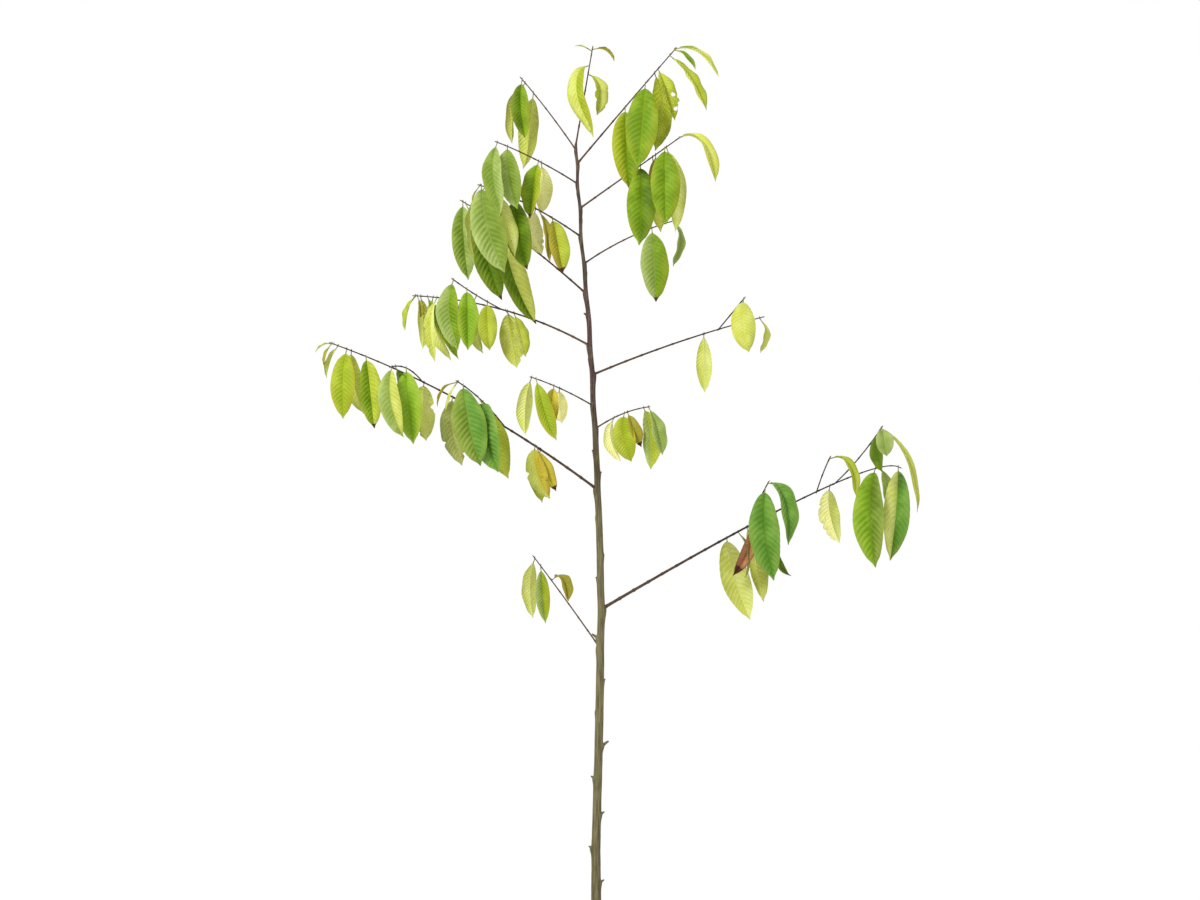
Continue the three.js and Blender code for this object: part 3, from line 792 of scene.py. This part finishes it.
def trunk_bark():
    finish = Finish("trunk_bark", Metallic=0.0, Specular_IOR_Level=0.3)
    height = finish.place.part("Z")
    streaks = finish.grain(330, 5, (1, 1, 0.07))
    mottle = finish.grain(70, 3, (1, 1, 0.35))
    cells = finish.node("ShaderNodeTexVoronoi", {"Vector": finish.place, "Scale": 210, "Randomness": 1.0})
    lenticels = 1 - cells.rising(0.10, 0.20)
    low = finish.mix(streaks.rising(0.35, 0.68), 0x5A5236, 0x7F7652)
    young = finish.mix(streaks.rising(0.35, 0.68), 0x3D2C27, 0x66504A)
    bark = finish.mix(height.rising(1.12, 1.46), low, young)
    mossy = finish.mix(mottle.rising(0.52, 0.68) * 0.45, bark, 0x757A48)
    corky = finish.mix((1 - height.rising(0.275, 0.33)) * 0.6, mossy, 0x5C4C39)
    spotted = finish.mix(lenticels * 0.5, corky, 0xA59C7C)
    finish.feed(Base_Color=spotted, Roughness=0.78 - 0.12 * mottle)
    finish.relief(streaks + 0.4 * lenticels + 0.4 * mottle, 0.0006, 0.8)
    return finish


TRUNK_BARK = trunk_bark()
STEM = tubes("stem", (TRUNK_AROUND, round((TRUNK_TOP - SOIL_LEVEL) / TRUNK_RING), trunk_surface))
made_piece("stem", STEM, [TRUNK_BARK], ["trunk"], crease=70)
made_piece("stem_stubs", trunk_stubs(), [TRUNK_BARK])


# Boughs leave the trunk one by one in two ranks, thin and wiry, with reddish young bark. Each swells at
# its collar and at the nodes, where it bends a little to one side and then the other.

NODE_SPACING = 36
NODE_SWELL = 0.32
NODE_REACH = 2.6
FIRST_NODE = 12
ZIGZAG = 0.78
ROOTED = 3.5
COLLAR_LENGTH = 5
LIMB_RING = 2.4
LIMB_GRAIN = 1.6
LIMB_SEED = 12
LIMB_RELIEF = 0.07
BOUGH_SIDES = 12


def bark_points(curve, radius):
    """The surface rule of a limb on a curve, with its nodes, its bends and its streaks of bark."""
    def surface(angle, share):
        run = share * curve.length
        centre = curve.at(share)
        heading = curve.heading(share)
        side = unit(np.cross(heading, [0.0, 1.0, 0.0]))
        over = np.cross(side, heading)
        phase = run / NODE_SPACING
        bend = ZIGZAG * (2 * np.abs(2 * (phase / 2 % 1) - 1) - 1) * np.minimum(1, run / NODE_SPACING)
        centre = centre + over * bend[:, None] - heading * (ROOTED * (share == 0))[:, None]
        from_node = np.minimum(phase % 1, 1 - phase % 1) * NODE_SPACING
        node = np.exp(-(from_node / NODE_REACH) ** 2) * (run > FIRST_NODE)
        thick = radius(share, run) * (1 + NODE_SWELL * node)
        outwards = side * np.cos(angle)[:, None] + over * np.sin(angle)[:, None]
        streaks = bark_noise(centre + outwards * thick[:, None], LIMB_GRAIN, LIMB_GRAIN, LIMB_SEED)
        return centre + outwards * (thick * (1 + LIMB_RELIEF * streaks))[:, None]
    return surface


def bough_radius(shoot, leader=False):
    """The rule of a bough's radius, from its swollen collar to its tip."""
    power = 1.0 if leader else 0.8

    def radius(share, run):
        thick = shoot.thick + (TIP_THICK - shoot.thick) * share ** power
        return thick / 2 * (1 + (COLLAR - 1) * np.exp(-run / COLLAR_LENGTH))
    return radius


def limb(sides, curve, radius):
    """A limb's steps around and along it and its surface rule, as tubes takes them."""
    return sides, round(curve.length / LIMB_RING), bark_points(curve, radius)


def shoot_bark():
    finish = Finish("shoot_bark", Metallic=0.0, Specular_IOR_Level=0.3)
    out = abs(finish.place.part("X") + 0.02)
    flecks = finish.grain(520, 4)
    bands = finish.grain(90, 3)
    old = finish.mix(flecks.rising(0.35, 0.65), 0x3E2C1E, 0x6E523A)
    young = finish.mix(flecks.rising(0.35, 0.65), 0x291D18, 0x4C362B)
    bark = finish.mix(out.rising(0.02, 0.26) * 0.8 + bands.rising(0.4, 0.6) * 0.2, old, young)
    finish.feed(Base_Color=bark, Roughness=0.72 - 0.15 * bands)
    finish.relief(flecks, 0.0004, 0.7)
    return finish


SHOOT_BARK = shoot_bark()
for shoot in SHOOTS:
    name = f"{shoot.name}_bough"
    bough = tubes(name, limb(BOUGH_SIDES, shoot.line(), bough_radius(shoot)))
    made_piece(name, bough, [SHOOT_BARK], [f"bough_{shoot.name}"], crease=70)


# The leader, the side twigs and their buds are this year's wood, hardly thicker than a match. Each tip
# ends in a narrow furry bud.

TWIG_SIDES = 8
BUD_POINT = 0.35
BUD_SUNK = 0.35
# Length and thickness of the bud at a tip, and of the one over a leaf's stalk
TIP_BUD = (6.5, 2.6)
SIDE_BUD = (3.4, 1.7)
SIDE_BUD_RISE = 1.2

fork = trunk_at(float(TRUNK_TOP))[0] + np.array([0, 0, GAP])
LEADER_LINE = Arch(fork, np.array(LEADER.tip), LEADER.bow)


@dataclass
class Spray:
    """One mass of leaves: the CAD node it stands for, and each leaf with the point it springs from."""
    node: str
    places: list = field(default_factory=list)


sprays = []
twig_lines = []
tips = []


def gather(shoot, line):
    """Deals a shoot's leaves and twigs out to its masses by where they spring."""
    starts = [line.crossing(x) for x in shoot.leafy] or [0.0]
    suffixes = ["_inner", "_outer"] if len(starts) > 1 else [""]
    for start, end, suffix in zip(starts, [*starts[1:], 2.0], suffixes):
        spray = Spray(f"leaves_{shoot.name}{suffix}")
        for leaf in shoot.leaves:
            share = line.crossing(leaf.spring)
            if start <= share < end:
                spray.places.append((leaf, line.at(share)))
        for twig in shoot.twigs:
            share = line.crossing(twig.start)
            if start <= share < end:
                path = Arch(line.at(share), np.array(twig.tip), twig.bow)
                twig_lines.append(path)
                tips.append(path)
                spray.places += [(leaf, path.at(path.crossing(leaf.spring))) for leaf in twig.leaves]
        sprays.append(spray)
    tips.append(line)


for shoot in SHOOTS:
    gather(shoot, shoot.line())
gather(LEADER, LEADER_LINE)


def bud(bm, root, aim, length, thick):
    """A pointed bud: a small sphere drawn out along its twig."""
    shape = Matrix.Diagonal((thick / 2 * MM, thick / 2 * MM, length / 2 * MM, 1))
    made = bmesh.ops.create_uvsphere(bm, u_segments=8, v_segments=7, radius=1.0)["verts"]
    for vert in made:
        vert.co.xy *= 1 - BUD_POINT * max(0.0, vert.co.z)
    bmesh.ops.transform(bm, matrix=pointing(root, aim, length * BUD_SUNK) @ shape, verts=made)


def bud_mesh():
    bm = bmesh.new()
    for path in tips:
        bud(bm, path.at(1.0), path.heading(1.0), *TIP_BUD)
    for spray in sprays:
        for _, foot in spray.places:
            bud(bm, foot + np.array([0, 0, SIDE_BUD_RISE]), (0.2, 0, 1), *SIDE_BUD)
    return mesh_from(bm, "buds")


FUR = (1400, 2, (1, 1, 0.3))
BUD_FUR = two_tone("bud_fur", (0x4A3426, 0x8A6F4B), 0.8, patches=FUR, bumps=FUR, depth=0.0002, strength=0.8)
TWIGS = tubes(
    "leader_and_twigs", limb(BOUGH_SIDES, LEADER_LINE, bough_radius(LEADER, leader=True)),
    *(limb(TWIG_SIDES, path, lambda share, run: TWIG_THICK / 2) for path in twig_lines),
)
made_piece("leader_and_twigs", TWIGS, [SHOOT_BARK], crease=70)
made_piece("buds", bud_mesh(), [BUD_FUR], crease=80)


# Leaves hang from short stalks, long ovals drawn out to a drip tip. The midrib and sixteen pairs of side
# veins are sunk into the upper face, the blade swells between them, and its two halves fold up along the
# midrib. They turn from deep green to yellow as they age, and are paler beneath.

VEINS = 16
ROWS_PER_VEIN = 4
ROWS = VEINS * ROWS_PER_VEIN
# Places across half a blade, closest together at its midrib and its margin, and across the whole
COLUMNS = np.array([0, 0.035, 0.10, 0.22, 0.38, 0.54, 0.70, 0.84, 0.94, 1.0])
ACROSS = np.concatenate([-COLUMNS[:0:-1], COLUMNS])
VEIN_SLANT = 0.15
MIDRIB_STEPS = 60
# How full the outline of a blade is, how much and how late it is drawn in to its tip, and how much
# narrower the drip tip is, where it starts and how soon it is at its narrowest
OUTLINE_FULLNESS = 0.65
TIP_DRAW = 0.3
TIP_START = 8
DRIP_DRAW = 0.38
DRIP_START = 0.89
DRIP_SPAN = 0.07
BLADE_THICK = 0.45
SCALLOP = 0.006
QUILT_DEPTH = 0.0072
WAVE_DEPTH = 0.10
ARCH_DEPTH = 0.10
# How deep the midrib lies in the upper face and how far it stands out of the lower, and half its breadth
RIB_GROOVE = (0.35, 1.3)
RIB_RIDGE = (1.25, 1.1)
PETIOLE_THICK = 2.0
PETIOLE_SIDES = 8
PETIOLE_RINGS = 5
STALK_SUNK = 1.5
# Least and most of a leaf's fold and twist, in radians, and of its stalk's length
FOLD = (0.25, 0.6)
TWIST = (-0.28, 0.28)
PETIOLE = (8, 14)
DETAIL_SEED = 17
FIRST_SEED = 41
# Each number of the seeded series is the one before it times the factor, modulo the length
SERIES_FACTOR = 16807
SERIES_LENGTH = 2147483647

# Each tint of leaf, the tint that it turns to in patches, which also colours the midrib and is painted on
# the swells between the veins as painted light, and the one that creeps in from its margins
TINTS = {
    "deep": (0x4F6E06, 0x6B8A10, 0x7E8A14),
    "green": (0x6B8E0C, 0x84A51C, 0x9DA424),
    "leek": (0x5E8E2A, 0x76A23E, 0x8AA842),
    "spring": (0x80A81C, 0x94B730, 0xA8BC3C),
    "fresh": (0x708C26, 0x869F3C, 0x9AAA46),
    # silver is partly the paler underside of leek and fresh leaves and partly a painted sheen, the whitish
    # reflection on some upper faces
    "silver": (0x8AA244, 0xA2B560, 0xB6C478),
    "bright": (0x93A81A, 0xA8B82A, 0xB9AC2C),
    "lime": (0xAAB62C, 0xBEC844, 0x98A630),
    "straw": (0xC3CA56, 0xD2D86C, 0xA6AE42),
    "pale": (0xD9E070, 0xE5EA8C, 0xBEC860),
    "lemon": (0xD3DA54, 0xDEE378, 0xC2C244),
    "cream": (0xEFEF94, 0xF6F5AC, 0xDAD878),
    "gold": (0xCDC03C, 0xBFA92E, 0x9A8A2A),
    "olive": (0x98982A, 0xAEA433, 0xB89C34),
    "drab": (0x9AA350, 0xAEB466, 0x868E46),
    "dead": (0xA0664A, 0xC48C5C, 0x5E3A28),
}
# Leaves that have turned far enough to be blotched with brown
BLOTCHED = ("straw", "gold", "olive", "drab", "cream")
# What shows on the other face of a leaf whose seen face has a given tint
BENEATH = {
    "deep": "drab", "green": "straw", "leek": "silver", "spring": "straw", "fresh": "silver",
    "silver": "pale", "bright": "straw",
}
ABOVE = {
    "pale": "bright", "straw": "lime", "silver": "green", "drab": "green", "olive": "bright",
    "lime": "bright",
}


def chances(count, seed):
    """Numbers between 0 and 1 from a seeded series."""
    for _ in range(count):
        seed = seed * SERIES_FACTOR % SERIES_LENGTH
        yield seed / SERIES_LENGTH


def blade_breadth(width, u):
    """Half the blade's breadth: round at the base, then drawn in to its drip tip."""
    full = np.sin(np.pi * np.clip(u, 0, 1)) ** OUTLINE_FULLNESS * (1 - TIP_DRAW * u ** TIP_START)
    drip = 1 - DRIP_DRAW * np.clip((u - DRIP_START) / DRIP_SPAN, 0, 1) ** 1.3
    return width / 2 * full * drip


def midrib(leaf, root):
    """Points and share of length down the midrib, which bends over until it hangs."""
    ahead = np.array([math.cos(math.radians(leaf.face)), math.sin(math.radians(leaf.face)), 0])
    share = (np.arange(MIDRIB_STEPS) + 0.5) / MIDRIB_STEPS
    slope = np.radians(leaf.lift + (leaf.hang - leaf.lift) * (1 - (1 - share) ** 2))
    run = leaf.length / MIDRIB_STEPS
    steps = ahead * (run * np.cos(slope))[:, None]
    steps[:, 2] -= run * np.sin(slope)
    steps[:, 0] += leaf.drift / MIDRIB_STEPS * 2 * share
    points = np.vstack([root, root + np.cumsum(steps, axis=0)])
    run = np.concatenate([[0], np.cumsum(np.linalg.norm(steps, axis=1))])
    return points, run / run[-1], np.array([-ahead[1], ahead[0], 0])


@dataclass
class Joined:
    """Small forms gathered into one mesh, with their maps, finishes and withering."""
    points: list = field(default_factory=list)
    faces: list = field(default_factory=list)
    finishes: list = field(default_factory=list)
    blade_map: list = field(default_factory=list)
    bake_map: list = field(default_factory=list)
    withered: list = field(default_factory=list)
    count: int = 0

    def add(self, points, faces, finish, blade, bake, withered):
        """Adds points, and faces with a finish and two map places for each corner."""
        self.points.append(points)
        self.faces.append(faces + self.count)
        self.finishes.append(finish)
        self.blade_map.append(blade[faces])
        self.bake_map.append(bake)
        self.withered.append(withered)
        self.count += len(points)

    def mesh(self, name):
        mesh = bpy.data.meshes.new(name)
        faces = np.concatenate(self.faces)
        mesh.from_pydata(np.concatenate(self.points) * MM, [], faces.tolist())
        mesh.polygons.foreach_set("material_index", np.concatenate(self.finishes).astype(np.int32))
        for title, places in (("blade", self.blade_map), ("OFBake", self.bake_map)):
            layer = mesh.uv_layers.new(name=title)
            layer.data.foreach_set("uv", np.concatenate(places).astype(np.float32).ravel())
        mesh.uv_layers["OFBake"].active_render = True
        mark = mesh.attributes.new("withered", "FLOAT", "POINT")
        mark.data.foreach_set("value", np.concatenate(self.withered).astype(np.float32))
        return mesh


def grid_faces(rows, columns):
    """Four corners for each face of a grid of points, row by row."""
    corner = (np.arange(rows - 1)[:, None] * columns + np.arange(columns - 1)).ravel()
    return np.stack([corner, corner + 1, corner + columns + 1, corner + columns], axis=-1)


def outline_of(leaf, dice):
    """Rows and columns of shares along and across the blade, and how far out its margin reaches."""
    row = np.linspace(0, 1, ROWS + 1)[:, None]
    x = ACROSS[None, :]
    along = row + VEIN_SLANT * np.abs(x) ** 1.2 * 4 * row * (1 - row)
    reach = 1 + SCALLOP * np.cos(2 * np.pi * VEINS * row) * np.abs(x) ** 3
    for _ in range(leaf.ragged):
        at, deep, wide = dice.uniform(0.2, 0.97), dice.uniform(0.12, 0.42), dice.uniform(0.012, 0.04)
        side = dice.choice([-1, 1])
        notch = deep * np.exp(-((row - at) / wide) ** 2)
        reach = reach * (1 - notch * (x * side > 0.5))
    return row + 0 * x, along, x * reach


def holes_in(leaf, along, across, half, dice):
    """Opens round holes: moves points near each rim onto it, and marks the points inside."""
    inside = np.zeros(along.shape, bool)
    for _ in range(leaf.holes):
        at = dice.uniform(0.35, 0.8)
        side = dice.choice([-1, 1]) * dice.uniform(0.3, 0.6)
        size = dice.uniform(2.5, 5)
        down, out = (along - at) * leaf.length, (across - side) * half
        far = np.hypot(down, out)
        near = far < size
        push = size / np.maximum(far, 0.2)
        along[near] = at + down[near] * push[near] / leaf.length
        across[near] = side + out[near] * push[near] / np.maximum(half[near], 1)
        inside |= near
    return inside


def ways_of(rib, share, across_way, along, twist):
    """The midrib's point at each share of its length, and the twisted ways across and over the blade."""
    centre = np.stack([np.interp(along, share, rib[:, axis]) for axis in range(3)], axis=-1)
    rise = [np.interp(along, share, np.gradient(rib[:, axis])) for axis in range(3)]
    ahead = unit(np.stack(rise, axis=-1))
    side = unit(across_way - ahead * (ahead @ across_way)[..., None])
    over = np.cross(ahead, side)
    turn = (twist * along)[..., None]
    return centre, side * np.cos(turn) + over * np.sin(turn), over * np.cos(turn) - side * np.sin(turn)


def blade_relief(leaf, row, along, across, half, dice):
    """How far the blade stands off flat: quilted between its veins, waved, arched and hooked at its tip."""
    off_rib = np.abs(across)
    minus = ACROSS[None, :] < 0
    fullness = np.sin(np.pi * along) ** 0.5 * np.sin(np.pi * np.clip(off_rib, 0, 1) ** 0.8) ** 0.6
    veins = np.cos(2 * np.pi * (VEINS * row + np.where(minus, 0.5, 0)))
    quilting = -QUILT_DEPTH * leaf.length * leaf.quilt * veins * fullness
    count, minus_start, plus_start = dice.uniform(1.6, 3.2), dice.uniform(0, 6.28), dice.uniform(0, 6.28)
    phase = 2 * np.pi * count * along + np.where(minus, minus_start, plus_start)
    wave = WAVE_DEPTH * half * off_rib ** 2 * np.sin(phase)
    arched = ARCH_DEPTH * half * (np.sin(np.pi * off_rib) - off_rib ** 3)
    hook = dice.uniform(-0.05, 0.08) * leaf.length * np.clip((along - 0.8) / 0.2, 0, 1) ** 2
    return quilting + wave + arched + hook


def blade_faces(inside):
    """Faces of the upper and the lower sheet, which share the points of their rims, and those points."""
    faces = grid_faces(*inside.shape)
    kept = ~inside.ravel()[faces].all(axis=1)
    rim = np.zeros(inside.shape, bool)
    rim[[0, -1], :] = True
    rim[:, [0, -1]] = True
    rim.ravel()[faces[~kept]] = True
    number = np.arange(rim.size)
    beneath = np.where(rim.ravel(), number, number + rim.size)
    return faces[kept], beneath[faces[kept][:, [0, 3, 2, 1]]], rim


@dataclass
class Cell:
    """A leaf's own part of the map that the finishes are baked to."""
    left: float
    low: float
    wide: float
    tall: float

    def strip(self, start, share):
        return Cell(self.left + self.wide * start, self.low, self.wide * share, self.tall * 0.94)

    def places(self, blade):
        """Places in the cell from shares along and across."""
        return blade[..., ::-1] * [self.wide, self.tall] + [self.left, self.low]


def cells(count):
    """Equal cells that fill the map, one for each leaf, with a margin round each."""
    across = math.ceil(math.sqrt(count * 1.4))
    up = math.ceil(count / across)
    for order in range(count):
        left, low = (order % across + 0.02) / across, (order // across + 0.02) / up
        yield Cell(left, low, 0.96 / across, 0.96 / up)


def add_leaf(joined, leaf, foot, habit, cell, slots, dice):
    """One leaf: an upper and a lower sheet that share their margins, and its stalk."""
    fold, twist, petiole = habit
    down_rib, _, across_way = midrib(leaf, foot)
    aim = unit(down_rib[1] - down_rib[0])
    rib, share, _ = midrib(leaf, foot + aim * petiole)
    row, along, across = outline_of(leaf, dice)
    half = np.maximum(blade_breadth(leaf.width, along), 1.0)
    inside = holes_in(leaf, along, across, half, dice)
    along = np.clip(along, 0, 1)
    centre, side, over = ways_of(rib, share, across_way, along, twist)

    out = across * half
    closing = fold * (1 + leaf.curl * along)
    height = np.abs(out) * np.sin(closing) + blade_relief(leaf, row, along, across, half, dice)
    middle = centre + side * (out * np.cos(closing))[..., None] + over * height[..., None]
    lean = np.sign(ACROSS)[None, :] * np.sin(closing)
    normal = unit(over * np.cos(closing)[..., None] - side * lean[..., None])
    (groove, groove_half), (ridge, ridge_half) = RIB_GROOVE, RIB_RIDGE
    sunk = groove * np.exp(-(out / groove_half) ** 2) * (1 - 0.5 * along)
    proud = ridge * np.exp(-(out / ridge_half) ** 2) * (1 - 0.75 * along)
    upper = middle + normal * (BLADE_THICK / 2 - sunk)[..., None]
    lower = middle - normal * (BLADE_THICK / 2 + proud)[..., None]

    upper_faces, lower_faces, rim = blade_faces(inside)
    upper[rim] = middle[rim]
    points = np.concatenate([upper.reshape(-1, 3), lower.reshape(-1, 3)])
    blade = np.stack([row, 0.5 + 0.5 * np.broadcast_to(ACROSS, row.shape)], axis=-1).reshape(-1, 2)
    bake = np.concatenate([
        cell.strip(0, 0.44).places(blade[upper_faces]),
        cell.strip(0.47, 0.44).places(blade[lower_faces % rim.size]),
    ])
    minus_half = upper_faces[:, 0] % len(ACROSS) < (len(ACROSS) - 1) / 2
    *sides, stalk = slots
    finish = np.concatenate([np.where(minus_half, *pair) for pair in sides])
    withered = np.clip((along - 1 + leaf.tip * 1.6) / max(leaf.tip, 0.01), 0, 1).ravel()
    faces = np.concatenate([upper_faces, lower_faces])
    used, index = np.unique(faces, return_inverse=True)
    joined.add(
        points[used], index.reshape(faces.shape), finish, np.tile(blade, (2, 1))[used], bake,
        np.tile(withered, 2)[used],
    )
    add_stalk(joined, foot, rib[0] + aim * STALK_SUNK, stalk, cell.strip(0.93, 0.05))


def add_stalk(joined, foot, end, finish, cell):
    """A leaf's stalk: a short tube, thicker at both ends."""
    aim = unit(end - foot)
    side = unit(np.cross(aim, [0.31, 0.95, 0.07]))
    over = np.cross(side, aim)
    angle = np.linspace(0, 2 * np.pi, PETIOLE_SIDES + 1)
    share = np.linspace(0, 1, PETIOLE_RINGS)[:, None]
    thick = PETIOLE_THICK / 2 * (1 + 0.35 * (2 * share - 1) ** 2)
    ring = side * np.cos(angle)[:, None] + over * np.sin(angle)[:, None]
    points = foot + (end - foot) * share[..., None] + ring * thick[..., None]
    faces = grid_faces(PETIOLE_RINGS, PETIOLE_SIDES + 1)
    blade = np.stack(np.broadcast_arrays(share, angle / (2 * np.pi)), axis=-1).reshape(-1, 2)
    points = points.reshape(-1, 3)
    unwithered = np.zeros(len(points))
    joined.add(points, faces, np.full(len(faces), finish), blade, cell.places(blade[faces]), unwithered)


def darker(code, level):
    red, green, blue, _ = paint(code)
    return (red * level, green * level, blue * level, 1.0)


def blade_finish(name, tint, turned, margin):
    """The finish of a leaf in one tint: a paler midrib, painted light on the swells between the side veins
    and painted shade in their sunk grooves, patches and margins that have turned, and a dried tip.
    """
    finish = Finish(f"leaf_{name}", Metallic=0.0, Specular_IOR_Level=0.22)
    blade = finish.node("ShaderNodeUVMap", {}, uv_map="blade")
    along, across = blade.part("X"), blade.part("Y")
    other_half = across.maths("LESS_THAN", across, 0.5)
    phase = (along * VEINS + 0.5 * other_half) * (2 * math.pi)
    sunk = 0.5 + 0.5 * phase.maths("COSINE", phase)
    off_rib = abs(across - 0.5) * 2
    rib = 1 - off_rib.rising(0.03, 0.09)
    patches = finish.grain(34, 3).rising(0.42, 0.66)
    speckles = finish.grain(700, 2)
    creeping = (off_rib * 0.45 + 0.55 * finish.grain(22, 4) + 0.16 * along).rising(0.55, 0.80)
    tone = finish.mix(creeping * 0.65, finish.mix(patches, tint, turned), margin)
    if name in BLOTCHED:
        blotches = finish.grain(75, 3).rising(0.64, 0.72) * along.rising(0.25, 0.85)
        tone = finish.mix(blotches * 0.65, tone, 0x7A5226)
    # Painted light and shade of the quilting: the swells between the side veins are painted lighter with
    # the turned tint, and the sunk grooves at the veins are painted darker with a darker copy of the tint.
    painted_swell_light = finish.mix((1 - sunk) * 0.30 * (1 - rib), tone, turned)
    shaded = finish.mix(sunk ** 4.0 * 0.22, painted_swell_light, darker(tint, 0.62))
    ribbed = finish.mix(rib * 0.45, shaded, turned)
    withered = finish.node("ShaderNodeAttribute", {}, out="Fac", attribute_name="withered")
    dried = (withered + 0.35 * (finish.grain(120, 2) - 0.5)).rising(0.25, 0.5)
    dead = finish.mix(speckles.rising(0.4, 0.6), 0x2E1C14, 0x6B3F22)
    finish.feed(Base_Color=finish.mix(dried, ribbed, dead), Roughness=0.46 + 0.16 * speckles + 0.2 * dried)
    net_sockets = {"Vector": finish.place, "Scale": 620}
    net = finish.node("ShaderNodeTexVoronoi", net_sockets, feature="DISTANCE_TO_EDGE")
    finish.relief(net.rising(0.0, 0.12) + 1.8 * (1 - sunk ** 6.0), 0.00025, 0.4)
    return finish


LEAF_FINISHES = {name: blade_finish(name, *tints) for name, tints in TINTS.items()}
STALK_FINISH = two_tone(
    "leaf_stalk", (0x6E6A2C, 0x9A9A48), 0.6, patches=(260, 2), bumps=(900, 2), depth=0.0002, strength=0.5,
    spread=(0.4, 0.6),
)


def halves_of(leaf):
    """Tints of the front and back faces, each as the half before the midrib and the half after it."""
    left, right = leaf.left, leaf.right or leaf.left
    faces_viewer = math.sin(math.radians(leaf.face)) < 0.3
    after_is_right = -math.sin(math.radians(leaf.face)) > 0
    seen = (left, right) if after_is_right else (right, left)
    if faces_viewer:
        return seen, tuple(BENEATH.get(tint, tint) for tint in seen)
    return tuple(ABOVE.get(tint, tint) for tint in seen), seen


draws = chances(3 * sum(len(spray.places) for spray in sprays), FIRST_SEED)
dice = np.random.default_rng(DETAIL_SEED)
for spray in sprays:
    joined = Joined()
    tints = sorted({tint for leaf, _ in spray.places for pair in halves_of(leaf) for tint in pair})
    for (leaf, foot), cell in zip(spray.places, cells(len(spray.places))):
        habit = [low + (high - low) * next(draws) for low, high in (FOLD, TWIST, PETIOLE)]
        slots = [[tints.index(tint) for tint in pair] for pair in halves_of(leaf)]
        add_leaf(joined, leaf, foot, habit, cell, [*slots, len(tints)], dice)
    name = spray.node.replace("leaves_", "") + "_leaves"
    finishes = [LEAF_FINISHES[tint] for tint in tints] + [STALK_FINISH]
    made_piece(name, joined.mesh(name), finishes, [spray.node], crease=75)


# The studio has a pale floor that runs into a white surround, a broad soft light from the upper left and
# a level camera as far off as the one that took the photograph.

FLOOR_RADIUS = 5.0
CAMERA_DISTANCE = 9.0
CAMERA_HEIGHT = 1.30
LENS = 135
SENSOR = 36
FLOOR_DROP = 0.0005
KEY_PLACE = Vector((-3.2, -5.0, 5.2))
KEY_POWER = 330
KEY_SIZE = 2.2
SURROUND_LIGHT = 0.72


def studio_floor():
    bm = bmesh.new()
    bmesh.ops.create_circle(bm, cap_ends=True, segments=128, radius=FLOOR_RADIUS)
    bmesh.ops.translate(bm, verts=bm.verts, vec=(0, 0, -FLOOR_DROP))
    mesh = mesh_from(bm, "floor")
    finish = Finish("floor_paper", Roughness=0.9, Metallic=0.0)
    far = finish.node("ShaderNodeVectorMath", {0: finish.place}, out="Value", operation="LENGTH")
    edge = far.rising(0.5, FLOOR_RADIUS * 0.8)
    finish.feed(Base_Color=finish.mix(edge, 0xD8D6D2, 0x000000))
    finish.feed(Emission_Color=finish.mix(edge, 0x000000, 0xFFFFFF), Emission_Strength=1.0)
    mesh.materials.append(finish.material)
    placed("floor", mesh)


def key_light():
    data = bpy.data.lights.new("key", "AREA")
    data.energy = KEY_POWER
    data.size = KEY_SIZE
    lamp = placed("key", data)
    lamp.location = KEY_PLACE
    lamp.rotation_euler = (Vector((0, 0, CAMERA_HEIGHT)) - KEY_PLACE).to_track_quat("-Z", "Y").to_euler()


def camera():
    data = bpy.data.cameras.new("camera")
    data.sensor_width = SENSOR
    data.lens = LENS
    data.clip_end = 100
    view = placed("camera", data)
    view.location = (0, -CAMERA_DISTANCE, CAMERA_HEIGHT)
    view.rotation_euler = (math.pi / 2, 0, 0)
    bpy.context.scene.camera = view


def surround():
    """White behind the plant, which lights it a little less than it shows."""
    world = bpy.data.worlds.new("surround")
    world.use_nodes = True
    tree = world.node_tree
    seen = tree.nodes.new("ShaderNodeLightPath").outputs["Is Camera Ray"]
    level = tree.nodes.new("ShaderNodeMapRange")
    level.inputs["To Min"].default_value = SURROUND_LIGHT
    level.inputs["To Max"].default_value = 1.0
    background = tree.nodes["Background"].inputs
    background["Color"].default_value = (1, 1, 1, 1)
    tree.links.new(seen, level.inputs["Value"])
    tree.links.new(level.outputs[0], background["Strength"])
    bpy.context.scene.world = world


studio_floor()
key_light()
camera()
surround()
bpy.context.scene.view_settings.view_transform = "Standard"
